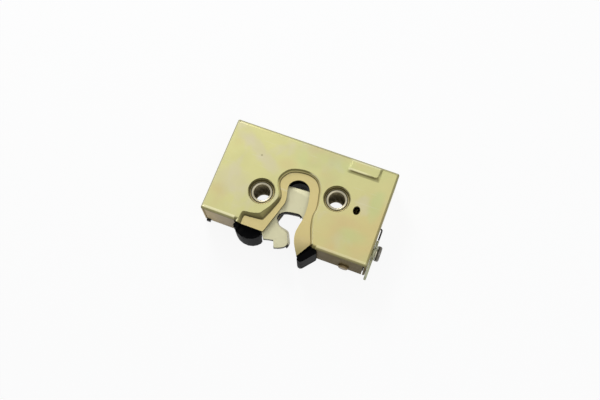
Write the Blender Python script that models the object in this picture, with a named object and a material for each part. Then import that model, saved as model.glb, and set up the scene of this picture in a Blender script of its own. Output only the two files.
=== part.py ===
"""Rotary car door lock: a pressed and folded steel case that holds a latch fork and a pawl on two threaded sleeves.

The lock lies on its back. X runs along the case, Y runs away from the striker's mouth and Z comes out of the face.
Shapes are drawn with the case's face at Z = 0 and its centre at X = Y = 0. A root empty then stands the whole lock
on the origin. Lengths are in metres and angles in degrees.
"""

import math

import bmesh
import bpy
from mathutils import Matrix, Vector

# Case: one sheet of steel, folded on four sides
CASE_LENGTH = 0.1020
CASE_HEIGHT = 0.0596
CASE_DEPTH = 0.0223
SHEET = 0.0015
FOLD_RADIUS = 0.0020
CORNER_RADIUS = 0.0010
SEAM_WIDTH = 0.0007
MOUTH_LEFT = -0.0300
MOUTH_RIGHT = 0.0208

# Pressed forms in the face
RECESS_DEPTH = 0.0020
TONGUE_DROP = 0.0022
TONGUE_REACH = 0.0068
TONGUE_BEND_Y = -0.0215
DIMPLE_DEPTH = 0.0026
DIMPLE_RADIUS = 0.0083
DIMPLE_FLOOR_RADIUS = 0.0074
BAND_ROOT = 0.0006
BAND_STEP = 0.00004
PAD_HEIGHT = 0.0010
PAD_LENGTH = 0.0196
PAD_WIDTH = 0.0094
PAD_CENTRE_X = 0.0312
PAD_CORNER_RADIUS = 0.0026
PAD_SLOPE = 0.0011
PAD_ROLL = 0.0017
PEEP_HOLE_X = 0.0346
PEEP_HOLE_Y = -0.0004
PEEP_HOLE_WIDTH = 0.0042
PEEP_HOLE_HEIGHT = 0.0054

# Threaded sleeves, which carry the fork and the pawl and take the door's bolts
FORK_AXIS_X = -0.0210
FORK_AXIS_Y = -0.00835
PAWL_AXIS_ANGLE = 14.096
SLEEVE_RADIUS = 0.00645
SLEEVE_BORE_RADIUS = 0.00485
SLEEVE_PROUD = 0.0003
SLEEVE_COLLAR_RADIUS = 0.0077
SLEEVE_COLLAR_LENGTH = 0.0012
SLEEVE_EDGE_BREAK = 0.0003

# Latch fork, drawn open
FORK_THICKNESS = 0.0030
FORK_HUB_RADIUS = 0.0110
FORK_RIM_RADIUS = 0.0332
FORK_RIM_TO_PAWL_AXIS = 0.010775
CATCH_DEPTH = 0.0032
SAFETY_CATCH_START = 5.2
SAFETY_CATCH_END = 2.0
SAFETY_RAMP_END = -6.2
MAIN_CATCH_START = -11.3
MAIN_CATCH_END = -14.5
FORK_TRAVEL = 52.0
LINER_THICKNESS = 0.0009
LINER_GAP = 0.0001
LINER_DEPTH = 0.0024
FORK_EDGE_BREAK = 0.0003

# Pawl, drawn lifted as the photograph shows the lock open
PAWL_THICKNESS = 0.0030
PAWL_HUB_RADIUS = 0.0084
PAWL_LIFT = 11.0
PAWL_NOSE_LOW = 0.0002
PAWL_NOSE_HIGH = 0.0036
PAWL_NOSE_GAP = 0.0003
PAWL_TOOTH_PROUD = 0.00025
PAWL_TOOTH_ANGLE = 30.5
PAWL_UPPER_TANGENT = 99.0
PAWL_LOWER_TANGENT = 189.0
PAWL_TAIL_START = 285.0
PAWL_TAIL_END = 355.0

# Release lever on the right wall, drawn at rest. Angles in its plane run from the end of the case towards its face
LEVER_AXIS_Y = -0.0170
LEVER_AXIS_Z = -0.0130
LEVER_THICKNESS = 0.0015
LEVER_WALL_GAP = 0.0002
LEVER_HUB_RADIUS = 0.0052
LEVER_ARM_LENGTH = 0.0142
LEVER_ARM_WIDTH = 0.0062
LEVER_ARM_HOLE_RADIUS = 0.0011
LEVER_TAB_RADIUS = 0.0072
LEVER_TAB_ANGLE = 30.0
LEVER_TAB_SPREAD = 17.0
LEVER_LOBE_RADIUS = 0.0025
FINGER_ARM = 0.0080
FINGER_ANGLE = 108.0
FINGER_RADIUS = 0.0012
FINGER_TIP_INSET = 0.0084
FINGER_HEAD_RADIUS = 0.0020
FINGER_HEAD_THICKNESS = 0.0008
RIVET_SHANK_RADIUS = 0.0022
RIVET_TAIL_INSET = 0.0074
RIVET_TAIL_RADIUS = 0.0034
RIVET_TAIL_THICKNESS = 0.0013
RIVET_HEAD_RADIUS = 0.0046
RIVET_HEAD_THICKNESS = 0.0024
WASHER_THICKNESS = 0.0006
LEVER_WASHER_RADIUS = 0.0044

# Back plate and rear cover
BACK_PLATE_THICKNESS = 0.0015
BACK_PLATE_INSET = 0.0028
PLATE_CORNER = 0.0020
COVER_THICKNESS = 0.0020
REAR_SLOT_MARGIN = 0.0004
CLIP_INSET = 0.0020
CLIP_WIDTH = 0.0022
CLIP_PROUD = 0.0014
CLIP_HEIGHT = 0.0027

# Washers and springs round the sleeves
PIVOT_WASHER_RADIUS = 0.0095
PIVOT_WASHER_THICKNESS = 0.0003
PIVOT_WASHER_GAP = 0.0001
COIL_RADIUS = 0.0084
COIL_FRONT = -0.0090
COIL_REAR = -0.0142
COIL_TURNS = 3
COIL_STEPS = 18
FORK_WIRE_RADIUS = 0.0007
PAWL_WIRE_RADIUS = 0.0006
LEVER_WIRE_RADIUS = 0.0005
LEVER_COIL_RADIUS = 0.0039
LEVER_COIL_START_INSET = 0.0055
LEVER_COIL_END_INSET = 0.0027
FORK_LEG_ANGLE = 120.0
FORK_LEG_RADIUS = 0.0088
PAWL_LEG_ANGLE = 149.0
PAWL_LEG_RADIUS = 0.0108
FORK_ANCHOR_ANGLE = 200.0
PAWL_ANCHOR_ANGLE = -35.0
ANCHOR_RADIUS = 0.0112
LEG_HOLE_GAP = 0.0003
LEG_END_Z = -0.0056
BUSH_WALL = 0.0008
BUSH_FLANGE_RADIUS = 0.0098
BUSH_FRONT = -0.0080
BUSH_REAR = -0.0160

# Hook of the lever spring, outside the right wall
HOOK_Y = -0.0034
HOOK_END_Y = -0.0103
HOOK_PROUD = 0.0011
SPRING_REST_Y = -0.0272

# Rubber buffers at the mouth and at the end of the slot
LEFT_BUFFER_FRONT = -0.0049
RIGHT_BUFFER_FRONT = -0.0040
RIGHT_SHELF_DEPTH = 0.0060
KNOB_X = -0.0276
KNOB_Y = -0.03235
KNOB_RADIUS = 0.0016
KNOB_TOP = -0.0012
BUFFER_INNER_REAR = -0.0177
END_BUFFER_X = -0.0008
END_BUFFER_Y = -0.0003
END_BUFFER_INNER = 0.0070
END_BUFFER_OUTER = 0.0112
END_BUFFER_FRONT = -0.0084
END_BUFFER_START = 18.0
END_BUFFER_END = 162.0

# Stud on the lower wall and stop pin for the pawl
STUD_X = 0.0378
STUD_Z = -0.0165
STUD_HEAD_RADIUS = 0.00325
STUD_HEAD_HEIGHT = 0.0018
STUD_SHANK_RADIUS = 0.0018
STUD_TAIL_RADIUS = 0.0026
STUD_TAIL_THICKNESS = 0.0009
STOP_PIN_REACH = 0.01854
STOP_PIN_ANGLE = 127.35
STOP_PIN_RADIUS = 0.0016
STOP_PIN_COLLAR_RADIUS = 0.0025
STOP_PIN_COLLAR_LENGTH = 0.0012

# Clearances
SEAT_GAP = 0.0003
RUNNING_GAP = 0.0001
LAYER_GAP = 0.0005
COVER_GAP = 0.0008

# Levels and walls that follow from the sizes above
HALF_LENGTH = CASE_LENGTH / 2
HALF_HEIGHT = CASE_HEIGHT / 2
BOTTOM = -HALF_HEIGHT
TONGUE_TIP_Y = BOTTOM - TONGUE_REACH
RIGHT_WALL = HALF_LENGTH
REAR = -CASE_DEPTH
RECESS_FLOOR = -RECESS_DEPTH
DIMPLE_FLOOR = -DIMPLE_DEPTH
DRAWN_INSIDE = min(DIMPLE_FLOOR, RECESS_FLOOR) - SHEET
FORK_FRONT = DRAWN_INSIDE - LAYER_GAP
FORK_BACK = FORK_FRONT - FORK_THICKNESS
PAWL_BACK = FORK_FRONT - PAWL_THICKNESS
COVER_FRONT = REAR + COVER_THICKNESS
BACK_PLATE_REAR = COVER_FRONT + COVER_GAP
BACK_PLATE_FRONT = BACK_PLATE_REAR + BACK_PLATE_THICKNESS
FINGER_TIP_X = RIGHT_WALL - FINGER_TIP_INSET
RIVET_TAIL_X = RIGHT_WALL - RIVET_TAIL_INSET
LEVER_COIL_START_X = RIGHT_WALL - LEVER_COIL_START_INSET
LEVER_COIL_END_X = RIGHT_WALL - LEVER_COIL_END_INSET
HOOK_X = RIGHT_WALL + HOOK_PROUD
CLIP_LEFT = -HALF_LENGTH + CLIP_INSET
CLIP_RIGHT = CLIP_LEFT + CLIP_WIDTH
PAWL_TOOTH_RADIUS = FORK_RIM_RADIUS + PAWL_TOOTH_PROUD
PAWL_AXIS_DISTANCE = FORK_RIM_RADIUS + FORK_RIM_TO_PAWL_AXIS
FORK_AXIS = Vector((FORK_AXIS_X, FORK_AXIS_Y))
PAWL_AXIS = FORK_AXIS + Matrix.Rotation(math.radians(PAWL_AXIS_ANGLE), 2) @ Vector((PAWL_AXIS_DISTANCE, 0.0))
STOP_PIN = PAWL_AXIS + Matrix.Rotation(math.radians(STOP_PIN_ANGLE), 2) @ Vector((STOP_PIN_REACH, 0.0))
ROUND_STEPS = 40
RECESS_STEPS = 4

# Edge of the striker's slot, from the left tab's end, over the arch, to the tip of the right tongue
SLOT_EDGE = [
    (-0.0119, BOTTOM - 0.0006),
    (-0.0118, BOTTOM - 0.0002),
    (-0.0116, BOTTOM + 0.0004),
    (-0.0112, BOTTOM + 0.0016),
    (-0.0108, -0.0268),
    (-0.0100, -0.0240),
    (-0.0074, -0.0150),
    (-0.0060, -0.0085),
    (-0.0077, 0.0000),
    (-0.0066, 0.0036),
    (-0.0040, 0.0057),
    (-0.0008, 0.0063),
    (0.0024, 0.0052),
    (0.0047, 0.0027),
    (0.0060, -0.0014),
    (0.0071, -0.0080),
    (0.0072, -0.0150),
    (0.0063, -0.0205),
    (0.0060, -0.0250),
    (0.0073, BOTTOM - 0.0003),
    (0.0112, TONGUE_TIP_Y),
]

# Outer edge of the recess floor, point for point beside the slot edge
FLOOR_EDGE = [
    (-0.0253, BOTTOM - 0.0006),
    (-0.0253, -0.0264),
    (-0.0244, -0.0252),
    (-0.0195, -0.0248),
    (-0.0148, -0.0243),
    (-0.0133, -0.0225),
    (-0.0104, -0.0145),
    (-0.0089, -0.0075),
    (-0.0125, 0.0000),
    (-0.0122, 0.0043),
    (-0.0085, 0.0088),
    (-0.0010, 0.0107),
    (0.0055, 0.0094),
    (0.0093, 0.0052),
    (0.0108, 0.0000),
    (0.0120, -0.0062),
    (0.0116, -0.0120),
    (0.0126, -0.0178),
    (0.0142, -0.0225),
    (0.0156, BOTTOM + 0.0032),
    (0.0164, BOTTOM + 0.0016),
]

# Where the rolled slope leaves the face, point for point beside the floor edge
SLOPE_EDGE = [
    (-0.0278, BOTTOM - 0.0006),
    (-0.0276, -0.0246),
    (-0.0264, -0.0229),
    (-0.0222, -0.0222),
    (-0.0180, -0.0208),
    (-0.0162, -0.0186),
    (-0.0128, -0.0135),
    (-0.0112, -0.0074),
    (-0.0146, -0.0004),
    (-0.0144, 0.0052),
    (-0.0098, 0.0107),
    (-0.0008, 0.0128),
    (0.0068, 0.0110),
    (0.0110, 0.0062),
    (0.0126, 0.0004),
    (0.0138, -0.0062),
    (0.0134, -0.0122),
    (0.0144, -0.0172),
    (0.0160, -0.0218),
    (0.0174, BOTTOM + 0.0038),
    (0.0182, BOTTOM + 0.0022),
]


# Upper edge of the open fork, from its hub to the corner of its rim
FORK_BACK_EDGE = [
    (-0.0077, 0.00144),
    (0.00495, 0.00245),
]

# The fork's mouth, from the main catch round its bottom to the tip of the lower jaw
FORK_MOUTH_EDGE = [
    (0.00677, -0.01454),
    (0.00495, -0.01272),
    (0.00343, -0.01262),
    (-0.00061, -0.01312),
    (-0.00365, -0.01373),
    (-0.00617, -0.01504),
    (-0.00769, -0.01747),
    (-0.00759, -0.01990),
    (-0.00638, -0.02200),
    (-0.00466, -0.02384),
    (-0.00061, -0.02485),
    (0.00121, -0.02546),
    (0.00242, -0.02770),
    (0.00363, -0.03020),
    (0.00363, -0.03240),
    (0.00242, -0.03425),
    (-0.00061, -0.03577),
]

# From the tip of the lower jaw back to the fork's hub
FORK_JAW_EDGE = [
    (-0.00294, -0.03660),
    (-0.00446, -0.03193),
    (-0.00668, -0.03274),
    (-0.01040, -0.03380),
    (-0.01160, -0.03190),
    (-0.01320, -0.02980),
    (-0.01500, -0.02500),
]

# Tail of the lifted pawl, from its hub down to the finger and back
PAWL_TAIL_EDGE = [
    (0.0265, -0.0095),
    (0.0310, -0.0170),
    (0.0360, -0.0250),
    (FINGER_TIP_X - 0.0031, -0.02697),
    (FINGER_TIP_X, -0.0260),
    (FINGER_TIP_X + 0.0017, -0.0236),
    (FINGER_TIP_X + 0.0017, -0.02097),
    (FINGER_TIP_X - 0.0040, -0.02097),
    (FINGER_TIP_X - 0.0054, -0.0170),
    (0.0335, -0.0095),
]

# Left buffer: its bulge outside the case, from the wall round to the fork's jaw
LEFT_BUFFER_EDGE = [
    (-0.0297, BOTTOM + SHEET),
    (-0.0297, -0.0310),
    (-0.0284, -0.0336),
    (-0.0260, -0.0355),
    (-0.0230, -0.0366),
    (-0.0198, -0.0368),
    (-0.0170, -0.0361),
    (-0.0148, -0.0348),
    (-0.0132, -0.0332),
    (-0.0127, -0.0317),
    (-0.0137, -0.0299),
    (-0.0143, BOTTOM + SHEET),
]

# Right buffer: a wedge along the tongue, from the case out to its rounded nose
RIGHT_BUFFER_EDGE = [
    (0.0183, BOTTOM + SHEET),
    (0.0177, -0.0284),
    (0.0119, -0.0370),
    (0.0118, -0.0381),
    (0.0126, -0.0390),
    (0.0140, -0.0393),
    (0.0152, -0.0387),
    (0.0212, -0.0314),
    (0.0212, -0.0302),
    (0.0205, -0.0301),
    (0.0205, BOTTOM + SHEET),
]

# Shelf of the right buffer, which carries the tongue's end from below
RIGHT_SHELF_EDGE = [
    (0.0128, -0.0378),
    (0.0104, -0.0352),
    (0.0146, -0.0280),
    (0.0186, -0.0284),
    (0.0192, -0.0300),
]


def clear_scene():
    for thing in list(bpy.data.objects):
        bpy.data.objects.remove(thing, do_unlink=True)


def material(name, colour, roughness, metallic):
    """A Principled material in one plain colour."""
    made = bpy.data.materials.new(name)
    made.use_nodes = True
    shader = made.node_tree.nodes["Principled BSDF"]
    shader.inputs["Base Color"].default_value = (*colour, 1.0)
    shader.inputs["Roughness"].default_value = roughness
    shader.inputs["Metallic"].default_value = metallic
    made.diffuse_color = (*colour, 1.0)
    return made


def polar(radius, angle):
    return Vector((radius * math.cos(math.radians(angle)), radius * math.sin(math.radians(angle))))


def turned(point, angle):
    """The 2D point turned by the angle about the origin."""
    return Matrix.Rotation(math.radians(angle), 2) @ Vector(point)


def arc(centre, radius, start, end, steps):
    """Points along an arc, ends included."""
    angles = [start + (end - start) * step / steps for step in range(steps + 1)]
    return [Vector(centre) + polar(radius, angle) for angle in angles]


def circle(centre, radius, steps=ROUND_STEPS):
    return arc(centre, radius, 0.0, 360.0, steps)[:-1]


def smooth_through(points, steps):
    """A Catmull-Rom curve through the points, with this many steps from each point to the next."""
    points = [Vector(point) for point in points]
    first = points[0] * 2 - points[1]
    last = points[-1] * 2 - points[-2]
    padded = [first, *points, last]
    curve = []
    for before, start, end, after in zip(padded, padded[1:], padded[2:], padded[3:]):
        for step in range(steps):
            t = step / steps
            curve.append(
                0.5
                * (
                    2 * start
                    + (end - before) * t
                    + (2 * before - 5 * start + 4 * end - after) * t**2
                    + (3 * start - before - 3 * end + after) * t**3
                )
            )
    curve.append(points[-1])
    return curve


def rounded(points, radius, steps=4):
    """The closed outline with each corner replaced by an arc that touches both of its sides."""
    outline = []
    count = len(points)
    for index in range(count):
        corner = Vector(points[index])
        back = (Vector(points[index - 1]) - corner).normalized()
        ahead = (Vector(points[(index + 1) % count]) - corner).normalized()
        half = back.angle(ahead) / 2
        reach = radius / math.tan(half)
        centre = corner + (back + ahead).normalized() * (radius / math.sin(half))
        start = corner + back * reach - centre
        end = corner + ahead * reach - centre
        sweep = math.degrees(start.angle_signed(end))
        for step in range(steps + 1):
            outline.append(centre + turned(start, -sweep * step / steps))
    return outline


def signed_area(outline):
    following = outline[1:] + outline[:1]
    return sum(a[0] * b[1] - b[0] * a[1] for a, b in zip(outline, following)) / 2


def add_object(name, mesh, finish, parent=None, location=(0.0, 0.0, 0.0)):
    """An object of this mesh, smooth except at its sharp edges, under its parent."""
    thing = bpy.data.objects.new(name, mesh)
    bpy.context.scene.collection.objects.link(thing)
    if finish is not None:
        mesh.materials.append(finish)
    mesh.shade_smooth()
    mesh.set_sharp_from_angle(angle=math.radians(35))
    thing.parent = parent
    thing.location = location
    return thing


def mesh_from(shape, name):
    bmesh.ops.recalc_face_normals(shape, faces=shape.faces)
    mesh = bpy.data.meshes.new(name)
    shape.to_mesh(mesh)
    shape.free()
    return mesh


def prism_mesh(name, outline, low, high, bevel=0.0, bevel_steps=2):
    """The outline extruded from low to high along Z, with its rims broken by the bevel."""
    shape = bmesh.new()
    if signed_area(outline) < 0:
        outline = outline[::-1]
    floor = [shape.verts.new((point[0], point[1], low)) for point in outline]
    roof = [shape.verts.new((point[0], point[1], high)) for point in outline]
    shape.faces.new(floor[::-1])
    shape.faces.new(roof)
    for index in range(len(outline)):
        shape.faces.new((floor[index - 1], floor[index], roof[index], roof[index - 1]))
    if bevel:
        rims = [edge for edge in shape.edges if abs(edge.verts[0].co.z - edge.verts[1].co.z) < 1e-7]
        bmesh.ops.bevel(shape, geom=rims, offset=bevel, segments=bevel_steps, affect="EDGES", profile=0.5)
    return mesh_from(shape, name)


def lathe_mesh(name, profile, steps=ROUND_STEPS):
    """The closed (radius, z) profile turned about Z. A radius of zero closes the solid at its axis."""
    shape = bmesh.new()
    rings = []
    for step in range(steps):
        angle = 2 * math.pi * step / steps
        ring = []
        for radius, height in profile:
            if radius == 0.0 and rings:
                ring.append(rings[0][len(ring)])
            else:
                ring.append(shape.verts.new((radius * math.cos(angle), radius * math.sin(angle), height)))
        rings.append(ring)
    count = len(profile)
    for step in range(steps):
        ring = rings[step]
        following = rings[(step + 1) % steps]
        for index in range(count):
            nxt = (index + 1) % count
            corners = [ring[index], ring[nxt], following[nxt], following[index]]
            corners = list(dict.fromkeys(corners))
            if len(corners) > 2:
                shape.faces.new(corners)
    return mesh_from(shape, name)


def rod_profile(radius, low, high):
    """Profile of a plain round rod for lathe_mesh."""
    return [(0.0, low), (radius, low), (radius, high), (0.0, high)]


def ring_profile(inner, outer, low, high):
    """Profile of a plain tube for lathe_mesh."""
    return [(inner, low), (outer, low), (outer, high), (inner, high)]


def along_x(mesh):
    """Turns a mesh made along Z so that it lies along X, its top towards +X."""
    mesh.transform(Matrix.Rotation(math.radians(90), 4, "Y"))
    return mesh


def along_minus_y(mesh):
    """Turns a mesh made along Z so that its top points to -Y."""
    mesh.transform(Matrix.Rotation(math.radians(90), 4, "X"))
    return mesh


def helper(name, mesh, parent=None, location=(0.0, 0.0, 0.0)):
    """An object that only shapes another one, left out of the part."""
    thing = add_object(name, mesh, None, parent, location)
    thing.hide_render = True
    thing.display_type = "WIRE"
    return thing


def combine(target, tool, operation):
    """Adds or cuts the helper with a live Boolean."""
    change = target.modifiers.new(f"{operation} {tool.name}", "BOOLEAN")
    change.operation = operation
    change.object = tool
    change.solver = "MANIFOLD"


def cut(target, tool):
    combine(target, tool, "DIFFERENCE")


def fuse(target, tool):
    combine(target, tool, "UNION")


def wire_object(name, points, radius, finish, parent=None):
    """A round wire through the points, with closed ends."""
    curve = bpy.data.curves.new(name, "CURVE")
    curve.dimensions = "3D"
    curve.bevel_depth = radius
    curve.bevel_resolution = 2
    curve.use_fill_caps = True
    spline = curve.splines.new("POLY")
    spline.points.add(len(points) - 1)
    for knot, point in zip(spline.points, points):
        knot.co = (*point, 1.0)
    thing = bpy.data.objects.new(name, curve)
    bpy.context.scene.collection.objects.link(thing)
    curve.materials.append(finish)
    thing.parent = parent
    return thing


def recess_curves():
    """The slot edge, the floor edge and the outer edge of the slope, sampled side by side."""
    slot = smooth_through(SLOT_EDGE, RECESS_STEPS)
    floor = smooth_through(FLOOR_EDGE, RECESS_STEPS)
    return slot, floor, smooth_through(SLOPE_EDGE, RECESS_STEPS)


def tongue_level(point):
    """How far the recess floor has dropped at this point: the right tongue curves back as it leaves the case."""
    reach = (TONGUE_BEND_Y - point.y) / (TONGUE_BEND_Y - TONGUE_TIP_Y)
    if point.x < 0.0 or reach <= 0.0:
        return 0.0
    return -TONGUE_DROP * min(reach, 1.0) ** 2


def recess_band_mesh():
    """The pressed band round the slot: a rolled slope down from the face and a flat floor up to the slot edge."""
    slot, floor, outer = recess_curves()
    roll = [0.0, 0.25, 0.5, 0.75, 1.0]
    shape = bmesh.new()
    rows = []
    for slot_point, floor_point, outer_point in zip(slot, floor, outer):
        away = (outer_point - floor_point).normalized()
        root_point = outer_point + away * BAND_ROOT
        top = [Vector((*root_point, -SHEET * 0.15))]
        under = [Vector((*root_point, -SHEET * 0.85))]
        for share in roll:
            place = outer_point.lerp(floor_point, share)
            fall = 0.5 - 0.5 * math.cos(math.pi * share)
            level = -BAND_STEP + (RECESS_FLOOR + BAND_STEP + tongue_level(floor_point)) * fall
            top.append(Vector((*place, level)))
        middle = floor_point.lerp(slot_point, 0.5)
        top.append(Vector((*middle, RECESS_FLOOR + tongue_level(middle))))
        top.append(Vector((*slot_point, RECESS_FLOOR + tongue_level(slot_point))))
        under += [point - Vector((0.0, 0.0, SHEET)) for point in top[1:]]
        rows.append([shape.verts.new(point) for point in top + under[::-1]])
    count = len(rows[0])
    for row, following in zip(rows, rows[1:]):
        for index in range(count):
            nxt = (index + 1) % count
            shape.faces.new((row[index], row[nxt], following[nxt], following[index]))
    shape.faces.new(rows[0])
    shape.faces.new(rows[-1][::-1])
    return mesh_from(shape, "recess_band")


def box_mesh(name, low, high):
    shape = bmesh.new()
    bmesh.ops.create_cube(shape, size=1.0)
    size = Vector(high) - Vector(low)
    middle = (Vector(high) + Vector(low)) / 2
    bmesh.ops.scale(shape, vec=size, verts=shape.verts)
    bmesh.ops.translate(shape, vec=middle, verts=shape.verts)
    return mesh_from(shape, name)


def folded_tray_mesh(name, length, height, top, bottom, fold, corner):
    """A box whose face edges carry the folds' radius and whose upright corners are small."""
    shape = bmesh.new()
    bmesh.ops.create_cube(shape, size=1.0)
    bmesh.ops.scale(shape, vec=(length, height, top - bottom), verts=shape.verts)
    bmesh.ops.translate(shape, vec=(0.0, 0.0, (top + bottom) / 2), verts=shape.verts)
    upright = [edge for edge in shape.edges if abs(edge.verts[0].co.z - edge.verts[1].co.z) > 1e-6]
    bmesh.ops.bevel(shape, geom=upright, offset=corner, segments=3, affect="EDGES", profile=0.5)
    rim = [edge for edge in shape.edges if min(vertex.co.z for vertex in edge.verts) > top - 1e-6]
    bmesh.ops.bevel(shape, geom=rim, offset=fold, segments=4, affect="EDGES", profile=0.5)
    for place_x in (FORK_AXIS.x, 0.0, PAWL_AXIS.x, PEEP_HOLE_X, STUD_X):
        everything = [*shape.verts, *shape.edges, *shape.faces]
        bmesh.ops.bisect_plane(shape, geom=everything, plane_co=(place_x, 0.0, 0.0), plane_no=(1.0, 0.0, 0.0))
    return mesh_from(shape, name)


def make_case(steel, root):
    """The folded case with its recess, dimples, pad, peep hole, lever window and corner seams."""
    tray = folded_tray_mesh("case_shell", CASE_LENGTH, CASE_HEIGHT, 0.0, REAR, FOLD_RADIUS, CORNER_RADIUS)
    case = add_object("case_shell", tray, steel, root)

    hollow = folded_tray_mesh(
        "case_hollow",
        CASE_LENGTH - 2 * SHEET,
        CASE_HEIGHT - 2 * SHEET,
        -SHEET,
        REAR - SHEET,
        FOLD_RADIUS - SHEET,
        CORNER_RADIUS / 2,
    )
    cut(case, helper("case_hollow", hollow, root))

    _, floor, outer = recess_curves()
    below = BOTTOM - SHEET
    inner = [slope.lerp(edge, 0.12) for slope, edge in zip(outer, floor)]
    gap_outline = [*inner, Vector((inner[-1].x, below)), Vector((inner[0].x, below))]
    cut(case, helper("recess_gap", prism_mesh("recess_gap", gap_outline, -0.0100, SHEET), root))
    wall_gap = box_mesh(
        "mouth_gap",
        (MOUTH_LEFT, below - SHEET, REAR - SHEET),
        (MOUTH_RIGHT, BOTTOM + SHEET + FOLD_RADIUS / 4, -FOLD_RADIUS - SEAT_GAP),
    )
    cut(case, helper("mouth_gap", wall_gap, root))
    fuse(case, helper("recess_band", recess_band_mesh(), root))

    for name, axis in (("fork", FORK_AXIS), ("pawl", PAWL_AXIS)):
        place = (*axis, 0.0)
        clear = lathe_mesh(f"{name}_dimple_gap", rod_profile(DIMPLE_RADIUS - 0.0002, -0.0060, SHEET))
        cut(case, helper(f"{name}_dimple_gap", clear, root, place))
        fuse(case, helper(f"{name}_dimple", lathe_mesh(f"{name}_dimple", dimple_profile()), root, place))

    fuse(case, helper("top_pad", pad_mesh("top_pad", 0.0, -SHEET / 2, PAD_HEIGHT), root))
    cut(case, helper("top_pad_hollow", pad_mesh("top_pad_hollow", SHEET, -SHEET * 2, PAD_HEIGHT - SHEET), root))

    tall = PEEP_HOLE_HEIGHT / PEEP_HOLE_WIDTH
    round_hole = circle((0.0, 0.0), PEEP_HOLE_WIDTH / 2, 28)
    ring = [Vector((PEEP_HOLE_X + x, PEEP_HOLE_Y + y * tall)) for x, y in round_hole]
    cut(case, helper("peep_hole", prism_mesh("peep_hole", ring, -2 * SHEET, SHEET), root))

    for side_x, side_y in ((1, 1), (1, -1), (-1, 1), (-1, -1)):
        near_x = side_x * (HALF_LENGTH - SHEET)
        far_x = near_x - side_x * SEAM_WIDTH
        out_y = side_y * (HALF_HEIGHT + SHEET)
        in_y = side_y * (HALF_HEIGHT - 2 * SHEET)
        low = (min(near_x, far_x), min(out_y, in_y), REAR - SHEET)
        high = (max(near_x, far_x), max(out_y, in_y), -FOLD_RADIUS)
        cut(case, helper(f"seam_{side_x}_{side_y}", box_mesh("seam", low, high), root))

    window = box_mesh(
        "lever_window",
        (RIGHT_WALL - 2 * SHEET, LEVER_AXIS_Y - FINGER_ARM * 0.56, LEVER_AXIS_Z + RIVET_SHANK_RADIUS + 0.0026),
        (RIGHT_WALL + SHEET, LEVER_AXIS_Y + FINGER_ARM * 0.56, LEVER_AXIS_Z + FINGER_ARM + FINGER_RADIUS + 0.0004),
    )
    cut(case, helper("lever_window", window, root))
    bore = along_x(lathe_mesh("rivet_bore", rod_profile(RIVET_SHANK_RADIUS + RUNNING_GAP, -2 * SHEET, SHEET), 40))
    cut(case, helper("rivet_bore", bore, root, (RIGHT_WALL, LEVER_AXIS_Y, LEVER_AXIS_Z)))
    hook_place = (RIGHT_WALL, HOOK_Y, LEVER_AXIS_Z + LEVER_COIL_RADIUS)
    hook_hole = along_x(lathe_mesh("hook_hole", rod_profile(LEVER_WIRE_RADIUS + LEG_HOLE_GAP, -2 * SHEET, SHEET), 16))
    cut(case, helper("hook_hole", hook_hole, root, hook_place))
    notch = box_mesh(
        "clip_notch",
        (CLIP_LEFT - SEAT_GAP, BOTTOM - SHEET, REAR - SHEET),
        (CLIP_RIGHT + SEAT_GAP, BOTTOM + 2 * SHEET, REAR + CLIP_HEIGHT + SEAT_GAP),
    )
    cut(case, helper("clip_notch", notch, root))
    shaft = rod_profile(STUD_SHANK_RADIUS + RUNNING_GAP, -2 * SHEET, SHEET)
    stud_hole = along_minus_y(lathe_mesh("stud_hole", shaft, 32))
    cut(case, helper("stud_hole", stud_hole, root, (STUD_X, BOTTOM, STUD_Z)))
    return case


def dimple_profile():
    """Section of a drawn dimple: a rolled lip from the face, a steep side and a floor with the sleeve's hole."""
    hole = SLEEVE_RADIUS + RUNNING_GAP
    lip = DIMPLE_RADIUS + BAND_ROOT
    steep = DIMPLE_RADIUS - DIMPLE_FLOOR_RADIUS
    top = [
        (lip, -SHEET * 0.15),
        (DIMPLE_RADIUS, -BAND_STEP),
        (DIMPLE_RADIUS - steep * 0.45, -DIMPLE_DEPTH * 0.2),
        (DIMPLE_FLOOR_RADIUS, DIMPLE_FLOOR * 0.8),
        (DIMPLE_FLOOR_RADIUS - steep * 0.3, DIMPLE_FLOOR),
        (hole, DIMPLE_FLOOR),
    ]
    under = [
        (hole, DIMPLE_FLOOR - SHEET),
        (DIMPLE_FLOOR_RADIUS + SHEET * 0.7, DIMPLE_FLOOR - SHEET),
        (DIMPLE_RADIUS + BAND_ROOT * 0.8, -SHEET * 1.1),
        (lip + BAND_ROOT * 0.5, -SHEET * 0.85),
    ]
    return [*top, *under]


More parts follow.
